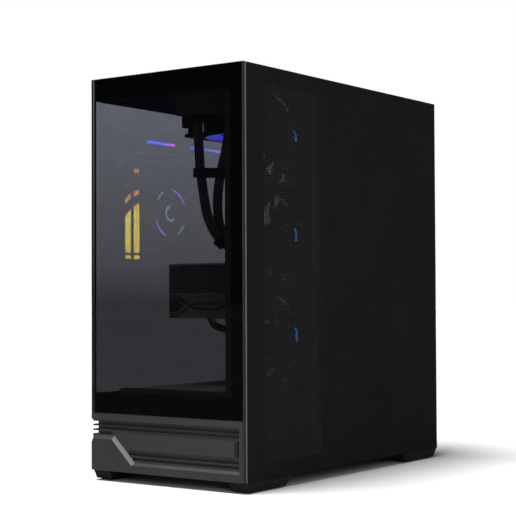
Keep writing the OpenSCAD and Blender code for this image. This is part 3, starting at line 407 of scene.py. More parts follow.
def block(bm, lo, hi, r=0.4, mat=0, seg=1):
    """A bevelled box between two corners in mm."""
    lo, hi = Vector(lo) * MM, Vector(hi) * MM
    vs = bmesh.ops.create_cube(bm, size=1.0)["verts"]
    for v in vs:
        v.co = Vector([lo[i] + (v.co[i] + 0.5) * (hi[i] - lo[i]) for i in range(3)])
    faces = {f for v in vs for f in v.link_faces}
    if r:
        r = min(r * MM, 0.45 * min(hi[i] - lo[i] for i in range(3)))
        edges = list({e for v in vs for e in v.link_edges})
        res = bmesh.ops.bevel(bm, geom=edges, offset=r, segments=seg, affect="EDGES",
                              profile=0.5)
        faces = {f for f in faces if f.is_valid} | set(res["faces"])
    for f in faces:
        f.material_index = mat


def lathe(bm, profile, centre=(0, 0, 0), steps=64, mat=0):
    """Turns a closed profile of (radius, z) in mm about Z."""
    centre = Vector(centre)
    rings = []
    for i in range(steps):
        a = math.radians(360.0 * i / steps)
        rings.append([bm.verts.new((centre + Vector((r * math.cos(a), r * math.sin(a), z))) * MM)
                      for r, z in profile])
    n = len(profile)
    for a, b in zip(rings, rings[1:] + rings[:1]):
        for k in range(n):
            bm.faces.new((a[k], b[k], b[(k + 1) % n], a[(k + 1) % n])).material_index = mat
    return [v for ring in rings for v in ring]


def turned(bm, profile, at, direction, steps=20):
    """A turned shape standing at a point, along a direction."""
    new = lathe(bm, profile, steps=steps)
    m = Vector((0, 0, 1)).rotation_difference(Vector(direction)).to_matrix().to_4x4()
    m.translation = Vector(at) * MM
    bmesh.ops.transform(bm, matrix=m, verts=new)


def spline(points, steps):
    """Points along a Catmull-Rom curve through a route."""
    pts = [Vector(p) for p in points]
    out = []
    for i in range(len(pts) - 1):
        p0, p1 = pts[max(0, i - 1)], pts[i]
        p2, p3 = pts[i + 1], pts[min(len(pts) - 1, i + 2)]
        for j in range(steps):
            t = j / steps
            out.append(0.5 * (2 * p1 + (p2 - p0) * t + (2 * p0 - 5 * p1 + 4 * p2 - p3) * t * t
                              + (3 * p1 - p0 - 3 * p2 + p3) * t ** 3))
    return out + [pts[-1]]


def sweep(bm, path, ring, first=(1, 0, 0), mats=None):
    """Carries a closed ring of (a, b) offsets in mm along a path, untwisted, and closes its ends.

    mats gives each side of the ring its own material, where the whole isn't of one.
    """
    side = Vector(first)
    rows = []
    for i, p in enumerate(path):
        t = (path[min(i + 1, len(path) - 1)] - path[max(i - 1, 0)]).normalized()
        side = (side - side.dot(t) * t).normalized()
        other = t.cross(side)
        rows.append([bm.verts.new((p + a * side + b * other) * MM) for a, b in ring])
    n = len(ring)
    for r0, r1 in zip(rows, rows[1:]):
        for k in range(n):
            f = bm.faces.new((r0[k], r0[(k + 1) % n], r1[(k + 1) % n], r1[k]))
            f.material_index = mats[k] if mats else 0
    bm.faces.new(rows[0])
    bm.faces.new(list(reversed(rows[-1])))


def set_glow(obj, color_at):
    """Stores a light's colour on each corner, from the corner's place in mm."""
    me = obj.data
    att = me.color_attributes.new("glow", "FLOAT_COLOR", "CORNER")
    vals = np.zeros((len(me.loops), 4), np.float32)
    for lp in me.loops:
        vals[lp.index] = (*color_at(me.vertices[lp.vertex_index].co / MM), 1)
    att.data.foreach_set("color", vals.ravel())


def blend_colors(stops, t):
    t = max(stops[0][0], min(stops[-1][0], t))
    for (t0, c0), (t1, c1) in zip(stops, stops[1:]):
        if t <= t1:
            k = (t - t0) / (t1 - t0) if t1 > t0 else 0
            return tuple(a + (b - a) * k for a, b in zip(c0, c1))
    return stops[-1][1]


def perforated(name, body, slot, mat, origin, u, v, size, pitch, hole, depth):
    """A sheet with a grid of diamond holes and a depth, made in one numpy pass."""
    u, v, o = (np.array(a, float) for a in (u, v, origin))
    nu, nv = int(size[0] / pitch), int(size[1] / pitch)
    pu, pv = size[0] / nu, size[1] / nv
    gu, gv = np.meshgrid(np.arange(nu + 1), np.arange(nv + 1), indexing="ij")
    grid = o + gu[..., None] * pu * u + gv[..., None] * pv * v
    cu, cv = np.meshgrid(np.arange(nu) + 0.5, np.arange(nv) + 0.5, indexing="ij")
    centre = o + cu[..., None] * pu * u + cv[..., None] * pv * v
    h = hole / 2
    tips = [centre - h * v, centre + h * u, centre + h * v, centre - h * u]
    ng, nc = grid.shape[0] * grid.shape[1], nu * nv
    verts = np.concatenate([grid.reshape(-1, 3)] + [t.reshape(-1, 3) for t in tips])
    gid = np.arange(ng).reshape(nu + 1, nv + 1)
    c = [g.ravel() for g in (gid[:-1, :-1], gid[1:, :-1], gid[1:, 1:], gid[:-1, 1:])]
    tid = [ng + k * nc + np.arange(nc) for k in range(4)]
    faces = []
    # Each side of a cell meets the nearest tip, and each corner meets two tips
    for k in range(4):
        faces.append(np.stack([c[k], c[(k + 1) % 4], tid[k]], 1))
        faces.append(np.stack([c[k], tid[k], tid[(k + 3) % 4]], 1))
    tris = np.concatenate(faces)
    n = len(verts)
    verts = np.concatenate([verts, verts + np.array(depth, float)])
    walls = [(tid[k], tid[(k + 1) % 4]) for k in range(4)]
    quads = np.concatenate([np.stack([a, b, b + n, a + n], 1) for a, b in walls])
    tris = np.concatenate([tris, tris[:, ::-1] + n])
    me = bpy.data.meshes.new(name)
    loops = np.concatenate([tris.ravel(), quads.ravel()])
    starts = np.concatenate([np.arange(len(tris)) * 3,
                             len(tris) * 3 + np.arange(len(quads)) * 4])
    me.vertices.add(len(verts))
    me.vertices.foreach_set("co", (verts * MM).ravel())
    me.loops.add(len(loops))
    me.loops.foreach_set("vertex_index", loops.astype(np.int32))
    me.polygons.add(len(starts))
    me.polygons.foreach_set("loop_start", starts.astype(np.int32))
    me.update(calc_edges=True)
    me.validate()
    me.materials.append(mat)
    link(name, me, body, slot)


def bearing(a, b):
    """The angle of (a, b) in degrees, from 0 to 360."""
    return math.degrees(math.atan2(b, a)) % 360


def box(node):
    """A node's lowest and highest corner in mm."""
    lo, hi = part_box(node)
    return [v / MM for v in lo], [v / MM for v in hi]


CASE_LO, CASE_HI = ([v / MM for v in c] for c in cad_box)


# ---------------------------------------------------------------- side panel
# Ball catch: a waisted pin with a round head
STUD = [(0.01, 0), (2.9, 0), (2.9, 0.8), (1.6, 1.1), (1.6, 1.7), (2.6, 2.3), (2.9, 3.0),
        (2.4, 3.8), (0.01, 4.3)]


def side_panel():
    """Sheet with a rolled front edge, and a finely perforated field let into it."""
    lo, hi = box("right_panel")
    x1, y0, y1, z0, z1 = hi[0], lo[1], hi[1], lo[2], hi[2]
    t, roll = 1.2, 5.6
    f0, f1 = CASE_LO[1] + 39.5, CASE_LO[1] + 158
    g0, g1 = z0 + 19, z0 + 454
    bm = bmesh.new()
    bands = [((y0 + roll, z0), (f0, z1)), ((f1, z0), (y1, z1)),
             ((f0, z0), (f1, g0)), ((f0, g1), (f1, z1))]
    for a, b in bands:
        block(bm, (x1 - t, a[0], a[1]), (x1, b[0], b[1]), r=0)
    block(bm, (x1 - 7.2, y1 - t, z0 + 2), (x1 - t, y1, z1 - 16), r=0.2)
    to_object("side_panel_sheet", bm, MAT["steel"], "right_panel", "steel_black",
              ["right_panel"], smooth=False)
    # Rolled front edge: a quarter round, then a short return beside the glass
    bm = bmesh.new()
    outline = [(x1 - 2.0, y0 + roll), (x1 - 2.0, y0 + 0.25), (x1 - 1.8, y0), (x1 - 1.6, y0)]
    for i in range(1, 7):
        a = math.radians(15 * i)
        outline.append((x1 - 1.6 + 1.6 * math.sin(a), y0 + 1.6 - 1.6 * math.cos(a)))
    outline += [(x1, y0 + 2.4), (x1, y0 + 5.0), (x1, y0 + roll), (x1 - t, y0 + roll)]
    rings = [[bm.verts.new((px * MM, py * MM, z * MM)) for px, py in outline]
             for z in (z0, z1)]
    n = len(outline)
    for k in range(n):
        f = bm.faces.new((rings[0][k], rings[0][(k + 1) % n], rings[1][(k + 1) % n],
                          rings[1][k]))
        # Face 10, a strip of the side just behind the roll, takes the light edge material: a painted highlight of
        # the bend
        f.material_index = 1 if k == 10 else 2 if k < 6 else 0
    bm.faces.new(list(reversed(rings[0])))
    bm.faces.new(rings[1])
    to_object("side_panel_edge", bm, [MAT["steel"], MAT["edge"], MAT["flange"]], "right_panel",
              "steel_black")
    perforated("side_panel_mesh", "right_panel", "steel_black", MAT["mesh"],
               origin=(x1 - 0.15, f0, g0), u=(0, 1, 0), v=(0, 0, 1), size=(f1 - f0, g1 - g0),
               pitch=2.6, hole=1.75, depth=(-0.45, 0, 0))
    bm = bmesh.new()
    for y, z in ((CASE_LO[1] + 60, z0 + 454), (CASE_LO[1] + 60, z0 + 9),
                 (CASE_HI[1] - 30, z1 - 30), (CASE_HI[1] - 30, z0 + 60)):
        turned(bm, STUD, (x1 - t, y, z), (-1, 0, 0))
    to_object("side_panel_studs", bm, MAT["plated"], "right_panel", "steel_black")


# ---------------------------------------------------------------- fans
# A 120 mm fan: half its side, its depth and its duct's radius, and its hub's radius, in mm
FAN_HALF, FAN_DEPTH, FAN_BORE, FAN_HUB = 60.0, 25.0, 56.5, 20.4
FAN_HOLE = 52.5  # from the axis to a corner hole, along each side


def flange_plate(bm, z0, z1, half, bore, corner=5.0):
    """A square plate with rounded corners and a round hole, as matching rings of points."""
    outer = []
    for q in range(4):
        cx = (half - corner) * (1 if q in (0, 3) else -1)
        cy = (half - corner) * (1 if q in (0, 1) else -1)
        for i in range(5):
            a = math.radians(90 * q + 22.5 * i)
            outer.append((cx + corner * math.cos(a), cy + corner * math.sin(a)))
        for k in (0.5, 0, -0.5):
            side = [(1, 0), (0, 1), (-1, 0), (0, -1)][(q + 1) % 4]
            along = (-side[1], side[0])
            d = -k * (half - corner)
            outer.append((side[0] * half + along[0] * d, side[1] * half + along[1] * d))
    inner = []
    for x, y in outer:
        a = math.atan2(y, x)
        inner.append((bore * math.cos(a), bore * math.sin(a)))
    rows = [[bm.verts.new((p[0] * MM, p[1] * MM, z * MM)) for p in ring]
            for ring, z in ((outer, z0), (inner, z0), (inner, z1), (outer, z1))]
    n = len(outer)
    for i in range(n):
        j = (i + 1) % n
        for a, b in ((0, 1), (1, 2), (2, 3), (3, 0)):
            bm.faces.new((rows[a][i], rows[a][j], rows[b][j], rows[b][i]))


def fan_frame_mesh(name):
    """A frame on its own axis: two flanges, a duct, a motor mount, struts and rubber pads."""
    d, bore = FAN_DEPTH, FAN_BORE
    bm = bmesh.new()
    lathe(bm, [(bore, 0.6), (bore + 0.5, 0), (bore + 2, 0), (bore + 2, d), (bore + 0.5, d),
               (bore, d - 0.6)], steps=72)
    for z0 in (0.0, d - 4.0):
        flange_plate(bm, z0, z0 + 4.0, FAN_HALF, bore + 1.2)
    for x in (-FAN_HOLE, FAN_HOLE):
        for y in (-FAN_HOLE, FAN_HOLE):
            lathe(bm, [(2.2, 3.9), (4.4, 3.9), (4.4, d - 3.9), (2.2, d - 3.9)],
                  centre=(x, y, 0), steps=18)
            for z0 in (0.0, d - 0.5):
                lathe(bm, [(2.6, z0), (6.0, z0), (6.0, z0 + 0.5), (2.6, z0 + 0.5)],
                      centre=(x, y, 0), steps=18, mat=1)
    lathe(bm, [(1.55, 8), (14.8, 8), (15.4, 8.7), (15.4, d - 3), (1.55, d - 3)], steps=36)
    lathe(bm, [(0.01, d - 3), (20, d - 3), (FAN_HUB, d - 2.6), (FAN_HUB, d - 0.4), (20, d),
               (0.01, d)], steps=48)
    for i in range(4):
        start = math.radians(45 + 90 * i)
        path = []
        for k in range(7):
            r = 19.5 + (bore + 0.6 - 19.5) * k / 6
            a = start + 0.16 * math.sin(math.pi * k / 6)
            path.append(Vector((r * math.cos(a), r * math.sin(a), d - 1.5)))
        sweep(bm, path, [(-1.9, -1.5), (1.9, -1.5), (1.2, 1.5), (-1.2, 1.5)],
              first=(-math.sin(start), math.cos(start), 0))
    return to_mesh(name, bm, [MAT["fan"], MAT["rubber"]])


def rotor_mesh(name, hub, tip, blades, depth, closed, opened, sweep_angle=0.44,
               pitch=(52, 30), chord=(13, 19)):
    """Swept, twisted blades between two heights, round a cup-shaped hub.

    pitch in degrees and chord in mm go from the hub to the tip.
    """
    bm = bmesh.new()
    lathe(bm, [(0.01, closed), (hub - 1.6, closed), (hub - 0.5, closed + 0.4),
               (hub, closed + 1.6), (hub, opened), (hub - 2.6, opened), (hub - 2.6, closed + 2),
               (0.01, closed + 2)], steps=40)
    mid, reach = (depth[0] + depth[1]) / 2, (depth[1] - depth[0]) / 2
    rows, cols, thick = 9, 5, 0.55
    for i in range(blades):
        grid = []
        for a in range(rows):
            k = a / (rows - 1)
            r = hub - 0.3 + (tip - hub + 0.3) * k
            lean = 2 * math.pi * i / blades + sweep_angle * k ** 1.4
            slope = math.radians(pitch[0] + (pitch[1] - pitch[0]) * k)
            c = chord[0] + (chord[1] - chord[0]) * math.sin(min(1, k * 1.15) * math.pi / 2)
            row = []
            for b in range(cols):
                w = b / (cols - 1) - 0.5
                if k > 0.85:
                    w *= 1 - 0.25 * ((k - 0.85) / 0.15) ** 2
                up = w * c * math.sin(slope) + 0.8 * (1 - 4 * w * w)
                ang = lean + w * c * math.cos(slope) / r
                row.append(Vector((r * math.cos(ang), r * math.sin(ang),
                                   mid + max(-reach, min(reach, up)))))
            grid.append(row)
        tops, bots = ([[bm.verts.new((p + Vector((0, 0, z))) * MM) for p in row] for row in grid]
                      for z in (thick, -thick))
        for a in range(rows - 1):
            for b in range(cols - 1):
                bm.faces.new((tops[a][b], tops[a + 1][b], tops[a + 1][b + 1], tops[a][b + 1]))
                bm.faces.new((bots[a][b], bots[a][b + 1], bots[a + 1][b + 1], bots[a + 1][b]))
            for b in (0, cols - 1):
                bm.faces.new((tops[a][b], bots[a][b], bots[a + 1][b], tops[a + 1][b]))
        for a in (0, rows - 1):
            for b in range(cols - 1):
                bm.faces.new((tops[a][b], tops[a][b + 1], bots[a][b + 1], bots[a][b]))
    return to_mesh(name, bm, MAT["blade"], sharp=40)


def place(name, mesh, matrix, body, slot, replaces):
    me = mesh.copy()
    me.name = name
    me.transform(matrix)
    link(name, me, body, slot, replaces)


def fan_matrix(joint, axis):
    """Stands a fan's own Z along the way its air leaves, at its joint."""
    turns = {"-X": ((0, 0, -1), (0, 1, 0), (1, 0, 0)), "+Y": ((1, 0, 0), (0, 0, 1), (0, -1, 0)),
             "+Z": ((1, 0, 0), (0, 1, 0), (0, 0, 1)), "-Z": ((1, 0, 0), (0, -1, 0), (0, 0, -1))}
    m = Matrix(turns[axis]).to_4x4()
    m.translation = Vector(joints[joint]["pos_m"])
    return m


# Colours of the lights, with their strength
OFF = (0.0, 0.0, 0.0)
BLUE = (0.10, 0.55, 2.0)
ICE = (0.10, 0.35, 0.75)
VIOLET = (0.16, 0.10, 0.95)
PURPLE = (0.34, 0.08, 0.70)
MAGENTA = (4.5, 0.25, 2.4)
PALE = (0.16, 0.17, 0.19)


def light_ring(name, matrix, r0, r1, z0, z1, color_at):
    """A ring of light between two radii and two heights in mm, stood in its place by a matrix."""
    bm = bmesh.new()
    lathe(bm, [(r0, z0), (r1, z0), (r1, z1), (r0, z1)], steps=120)
    bmesh.ops.recalc_face_normals(bm, faces=bm.faces)
    bmesh.ops.transform(bm, matrix=matrix, verts=bm.verts)
    set_glow(to_object(name, bm, MAT["glow"], "chassis", "rotor_plastic"), color_at)


def glow_bar(name, lo, hi, color_at, slot="rotor_plastic", steps=12, axis=1):
    """A light bar between two corners in mm, in short lengths so that its colour can change."""
    bm = bmesh.new()
    cuts = [lo[axis] + (hi[axis] - lo[axis]) * i / steps for i in range(steps + 1)]
    for a, b in zip(cuts, cuts[1:]):
        p, q = list(lo), list(hi)
        p[axis], q[axis] = a, b
        block(bm, p, q, r=0)
    bmesh.ops.remove_doubles(bm, verts=bm.verts, dist=1e-6)
    inner = [f for f in bm.faces if all(len(e.link_faces) > 2 for e in f.edges)]
    bmesh.ops.delete(bm, geom=inner, context="FACES_ONLY")
    set_glow(to_object(name, bm, MAT["glow"], "chassis", slot, smooth=False), color_at)


def side_tone(c):
    """Colours round a side fan: blue at the rear, pale above, purple to pink below."""
    stops = [(0, BLUE), (16, BLUE), (20, OFF), (34, OFF), (38, PALE), (74, PALE), (84, OFF),
             (262, OFF), (266, MAGENTA), (275, MAGENTA), (279, OFF), (296, OFF), (302, PURPLE),
             (334, VIOLET), (338, OFF), (345, OFF), (349, BLUE), (360, BLUE)]
    return lambda p: blend_colors(stops, bearing(p.y - c.y, p.z - c.z))


def dimmed(color, k):
    return tuple(k * v for v in color)


def roof_fan_lights(name, m, c, front):
    """A ring and a lit duct wall for a roof fan, and the bar of light that the glass mirrors."""
    if front:
        ring = [(-60, BLUE), (0, (0.3, 0.12, 1.6)), (60, (0.6, 0.08, 1.3))]
        bar = [(-50, (0, 3.2, 34)), (-16, (0.2, 2.4, 34)), (-10, (13, 1.0, 26)),
               (8, (16, 0.8, 20))]
    else:
        ring = [(-60, PURPLE), (60, BLUE)]
        bar = [(40, (0.1, 2.2, 16)), (90, (0.6, 2.4, 15)), (112, (5, 1.2, 12))]
    wall = [(-180, (0.08, 0.10, 1.5)), (-140, (0.10, 0.12, 1.8)), (-120, OFF), (118, OFF),
            (126, (0.30, 0.10, 1.3)), (180, (0.08, 0.10, 1.5))]
    light_ring(name + "_ring", m, 47.0, 56.3, 0.4, 1.4,
               lambda p: dimmed(blend_colors(ring, p.y - c.y), 0.45))
    light_ring(name + "_duct", m, 55.8, 56.35, 1.6, 12, lambda p: blend_colors(
        wall, math.degrees(math.atan2(p.y - c.y, p.x - c.x))))
    glow_bar(name + "_bar", (c.x - 60.3, bar[0][0], c.z + 8.0),
             (c.x - 59.2, bar[-1][0], c.z + 11.3), lambda p: blend_colors(bar, p.y))


def fans():
    frame_me = fan_frame_mesh("fan_frame_shape")
    rotor_me = rotor_mesh("fan_rotor_shape", FAN_HUB, 53.4, 9, (4.2, 20.6), 3.6, 20.6)
    slim_me = rotor_mesh("slim_rotor_shape", FAN_HUB, 53.4, 9, (4.2, 20.6), 3.6, 20.6,
                         sweep_angle=0.30, pitch=(62, 48), chord=(10, 13))
    places = [("side_fan", "_" + k, "-X") for k in ("top", "middle", "bottom")]
    places += [("top_fan", "_" + k, "+Z") for k in ("front", "rear")]
    places += [("rear_fan", "", "+Y")]
    for kind, tail, axis in places:
        m = fan_matrix(f"{kind}_spin{tail}", axis)
        c = m.translation / MM
        frame_node, rotor_node = f"{kind}_frame{tail}", f"{kind}_rotor{tail}"
        place(frame_node + "_v", frame_me, m, "chassis", "fan_plastic", [frame_node])
        # The side rotors rest with a gap between blades towards the lit arc
        slim = kind == "side_fan"
        rest = m @ Matrix.Rotation(math.radians(13 if slim else 0), 4, "Z")
        place(rotor_node + "_v", slim_me if slim else rotor_me, rest, rotor_node,
              "rotor_plastic", [rotor_node])
        if kind == "side_fan":
            light_ring(f"{frame_node}_ring", m, 54.4, 56.35, 22.6, 24.6, side_tone(c))
            light_ring(f"{frame_node}_hub_ring", m, 17.0, 18.2, 24.95, 24.99,
                       lambda p: dimmed(PURPLE, 0.5))
        elif kind == "top_fan":
            roof_fan_lights(frame_node, m, c, tail == "_front")
        else:
            light_ring(f"{frame_node}_ring", m, 51.0, 56.3, 0.4, 1.2, lambda p: ICE)
    z0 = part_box("right_panel")[0][2] / MM
    # Painted highlight: a pale glowing strip along the side fan bracket's steel edge, which is no lamp
    glow_bar("bracket_painted_glow_edge", (CASE_HI[0] - 7.6, CASE_LO[1] + 154.6, z0 + 19),
             (CASE_HI[0] - 7.1, CASE_LO[1] + 155.4, z0 + 453), lambda p: (0.45, 0.44, 0.45),
             slot="steel_black", axis=2)
    small = rotor_mesh("card_rotor_shape", 17, 43.2, 11, (1.2, 11.0), 0.2, 11.6,
                       sweep_angle=0.5, chord=(11, 16))
    for k in ("front", "middle", "rear"):
        m = fan_matrix("card_spin_" + k, "+Z")
        m.translation.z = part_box("card_rotor_" + k)[0][2]
        place(f"card_rotor_{k}_v", small, m, f"card_rotor_{k}", "rotor_plastic",
              [f"card_rotor_{k}"])
    m = fan_matrix("psu_fan_spin", "-Z")
    m.translation.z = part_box("psu_fan_rotor")[1][2] + 3.6 * MM
    place("psu_fan_rotor_v", rotor_me, m, "psu_fan_rotor", "rotor_plastic", ["psu_fan_rotor"])
    for me in (frame_me, rotor_me, slim_me, small):
        bpy.data.meshes.remove(me)


# ---------------------------------------------------------------- cooler
# Tube routes in mm, the same as the design's
TUBE_FRONT = [(-19, -135, 446.2), (-19, -135, 424), (-17.5, -135, 400), (-15, -135.5, 376),
              (-8, -137, 341), (-2, -138, 320), (6, -136, 302), (17, -126, 285),
              (28, -102, 273), (34, -70, 277), (34, -38, 303), (34, -6, 341), (34, 24, 361),
              (34, 44, 363), (34, 52, 363)]
TUBE_REAR = [(30, -135, 446.2), (29, -135, 424), (22, -134, 396), (13, -132, 371),
             (6, -128, 346), (3, -124.5, 325), (4, -120, 307), (12, -110, 295), (23, -94, 289),
             (32, -75, 292), (34, -56, 306), (34, -34, 333), (34, -12, 359), (34, 6, 373),
             (34, 26, 380), (34, 44, 381), (34, 52, 381)]


def coolant_tubes():
    """Rubber hoses with long ribs whose crests carry a painted highlight, and a crimped collar at each end."""
    ribs, points = 12, 60
    ring = []
    for k in range(points):
        a = 2 * math.pi * k / points
        r = 5.55 + 0.42 * (0.5 + 0.5 * math.cos(ribs * a)) ** 0.6
        ring.append((r * math.cos(a), r * math.sin(a)))
    # The two sides of the ring at each rib's crest take a far lighter rubber: a painted highlight along each rib
    per_rib = points // ribs
    highlit_crests = [int(k % per_rib in (0, per_rib - 1)) for k in range(points)]
    bm = bmesh.new()
    for route in (TUBE_FRONT, TUBE_REAR):
        sweep(bm, spline(route, 7), ring, mats=highlit_crests)
    to_object("coolant_tubes_v", bm, [MAT["tube"], MAT["tube_crest_painted_highlight"]], "chassis", "tube_rubber",
              ["coolant_tubes"])
    collar = [(5.6, 0), (7.3, 0), (7.6, 0.4), (7.6, 2.2), (7.0, 2.7), (7.0, 6.5), (7.6, 7.0),
              (7.6, 9.0), (7.2, 9.5), (5.6, 9.5)]
    bm = bmesh.new()
    for route in (TUBE_FRONT, TUBE_REAR):
        turned(bm, collar, route[0], (0, 0, -1), steps=32)
        turned(bm, collar, (route[-1][0], 44.7, route[-1][2]), (0, -1, 0), steps=32)
    to_object("tube_collars", bm, MAT["sink"], "chassis", "tube_rubber")
    refine("tube_clips", MAT["plastic"], 0.6, 2, angle=50)


def radiator():
    """End tanks with rounded edges, flat channels, folded fins between them, and a filling plug."""
    lo, hi = box("radiator")
    tank, y1 = 17, hi[1]
    x0, x1, z0, z1 = lo[0], hi[0], hi[2] - 27, hi[2]
    c0, c1 = lo[1] + tank, y1 - tank + 6
    bm = bmesh.new()
    for a, b in ((lo[1], c0), (c1, y1)):
        block(bm, (x0, a, z0), (x1, b, z1), r=1.8, seg=3)
    for x in (x0, x1 - 1.5):
        block(bm, (x, c0 - 1, z0), (x + 1.5, c1 + 1, z1), r=0.3)
    slot = slot_of_node["radiator"]
    to_object("radiator_v", bm, MAT["tank"], "chassis", slot, ["radiator"])
    bm = bmesh.new()
    plug = [(0.01, 0), (5, 0), (5, 9.5), (4.6, 10), (4.6, 10.6), (5, 11), (5, 15), (4.2, 15.6),
            (1.6, 15.6), (1.6, 13), (0.01, 13)]
    turned(bm, plug, (x0 + 12, lo[1] + 8, z0 + 0.4), (0, 0, -1), steps=28)
    to_object("radiator_plug", bm, MAT["plastic"], "chassis", slot)
    rows = 12
    pitch = (x1 - x0) / rows
    bm = bmesh.new()
    for k in range(1, rows):
        x = x0 + k * pitch
        block(bm, (x - 1, c0 - 1, z0 + 3), (x + 1, c1 + 1, z1 - 3), r=0.5)
    # Folded fins: a zigzag sheet in each gap, with a hair of thickness
    step = 1.6
    count = int((c1 - c0) / step)
    for k in range(rows):
        xa = x0 + k * pitch + (1.5 if k == 0 else 1.0)
        xb = x0 + (k + 1) * pitch - (1.5 if k == rows - 1 else 1.0)
        for i in range(count):
            ya, yb = c0 + i * step, c0 + (i + 1) * step
            pa, pb = ((xa, ya), (xb, yb)) if i % 2 else ((xb, ya), (xa, yb))
            vs = [bm.verts.new((p[0] * MM, (p[1] + d) * MM, z * MM)) for d in (0, 0.2)
                  for p, z in ((pa, z0 + 4), (pb, z0 + 4), (pb, z1 - 4), (pa, z1 - 4))]
            for q in ((3, 2, 1, 0), (4, 5, 6, 7), (0, 1, 5, 4), (2, 3, 7, 6)):
                bm.faces.new([vs[j] for j in q])
    to_object("radiator_fins", bm, MAT["sink"], "chassis", slot, smooth=False)


def pump():
    """Octagonal head: a chamfered body, a mirror-black cap and broken arcs of light round it."""
    lo, hi = box("pump_head")
    refine("pump_head", MAT["plastic"], 1.0, 3)
    c = Vector((lo[0], (lo[1] + 4 + hi[1]) / 2, lo[2] + 37))
    m = Matrix(((0, 0, -1), (0, 1, 0), (1, 0, 0))).to_4x4()
    m.translation = c * MM
    bm = bmesh.new()
    lathe(bm, [(0.01, -0.6), (0.01, 1.0), (31.4, 1.0), (32.2, 0.4), (32.2, -0.6)], steps=8 * 9)
    bmesh.ops.transform(bm, matrix=m, verts=bm.verts)
    to_object("pump_cap", bm, MAT["gloss"], "chassis", "black_plastic")
    teal, violet = (1.8, 4.2, 5.2), (3.6, 1.8, 9.0)
    ring = [(0, OFF), (20, OFF), (28, violet), (80, violet), (88, OFF), (118, OFF),
            (124, teal), (146, teal), (152, OFF), (196, OFF), (204, violet), (246, violet),
            (252, OFF), (296, OFF), (304, teal), (328, teal), (334, OFF), (360, OFF)]
    swirl = [(0, OFF), (90, OFF), (110, teal), (300, teal), (320, OFF), (360, OFF)]
    for name, r0, r1, stops in (("pump_outer_light", 32.8, 35.4, ring),
                                ("pump_centre_light", 8.6, 12.4, swirl)):
        light_ring(name, m, r0, r1, 0.2, 1.25,
                   lambda p: blend_colors(stops, bearing(p.y - c.y, p.z - c.z)))


def memory():
    """Two modules: board with contacts, ribbed heat spreaders and lamps along the outer edge."""
    lo, hi = box("memory_sticks")
    z0, z1, x0, x1 = lo[2], hi[2], lo[0], hi[0]
    yellow, orange = (15.0, 11.5, 0.9), (13.0, 5.2, 0.5)
    for tail, y in (("front", lo[1] + 3.4), ("rear", hi[1] - 3.4)):
        bm = bmesh.new()
        block(bm, (x1 - 28, y - 0.7, z0), (x1, y + 0.7, z1), r=0)
        for i in range(60):
            z = z0 + 4 + i * (z1 - z0 - 8) / 59
            for s in (-1, 1):
                block(bm, (x1 - 3.6, y + s * 0.76 - 0.05, z - 0.5),
                      (x1 - 0.4, y + s * 0.76 + 0.05, z + 0.5), r=0, mat=1)
        to_object(f"memory_board_{tail}", bm, [MAT["pcb"], MAT["gold"]], "chassis", "memory",
                  ["memory_sticks"] if tail == "front" else (), smooth=False)
        bm = bmesh.new()
        a, b = x0 + 6, x1 - 8
        for s in (-1, 1):
            side, skin = y + s * 2.2, y + s * 3.2
            block(bm, (a, side - 1.2, z0 + 2), (b, side + 1.2, z1 - 2), r=0.5, seg=2)
            for i in range(5):
                x = a + 2.4 + i * 3.6
                block(bm, (x, skin - 0.2, z0 + 6), (x + 1.6, skin + 0.2, z1 - 34), r=0.15)
            block(bm, (a + 2, skin - 0.2, z1 - 30), (b - 2, skin + 0.2, z1 - 6), r=0.2)
        to_object(f"memory_spreader_{tail}", bm, MAT["sink"], "chassis", "memory")
        spot = orange if tail == "rear" else OFF
        stops = [(z0, yellow), (z0 + 66, yellow), (z0 + 88, orange), (z0 + 103, orange),
                 (z0 + 107, OFF), (z1 - 9, OFF), (z1 - 7, spot), (z1 - 4, spot), (z1 - 2, OFF)]
        # A long lamp with a short one below it, and three narrow ones above
        lamps = [("_low", x0, -2.5, 2.5, z0 + 1.5, z0 + 6.3, 12),
                 ("", x0, -2.5, 2.5, z0 + 10.5, z0 + 88, 24)]
        for i in range(3):
            w = -2.5 + i * 1.9
            lamps.append((f"_top_{i}", x0 + 0.4, w, w + 1.1, z0 + 89, z1 - 1.2, 12))
        for part, xa, ya, yb, za, zb, steps in lamps:
            glow_bar(f"memory_light_{tail}{part}", (xa, y + ya, za), (x0 + 6, y + yb, zb),
                     lambda p: blend_colors(stops, p.z), slot="memory", axis=2, steps=steps)


# ---------------------------------------------------------------- graphics card
def rib(bm, points, y, width, proud=0.75):
    """A raised rib through (x, z) points on the end of the card."""
    for (xa, za), (xb, zb) in zip(points, points[1:]):
        d = Vector((xb - xa, zb - za))
        n = Vector((-d.y, d.x)).normalized() * width / 2
        ext = d.normalized() * width * 0.25
        quad = [(xa - ext.x + n.x, za - ext.y + n.y), (xb + ext.x + n.x, zb + ext.y + n.y),
                (xb + ext.x - n.x, zb + ext.y - n.y), (xa - ext.x - n.x, za - ext.y - n.y)]
        face = [bm.verts.new((px * MM, (y - proud) * MM, pz * MM)) for px, pz in quad]
        back = [bm.verts.new((px * MM, (y + 0.3) * MM, pz * MM)) for px, pz in quad]
        bm.faces.new(face)
        bm.faces.new(list(reversed(back)))
        for k in range(4):
            bm.faces.new((face[k], back[k], back[(k + 1) % 4], face[(k + 1) % 4]))


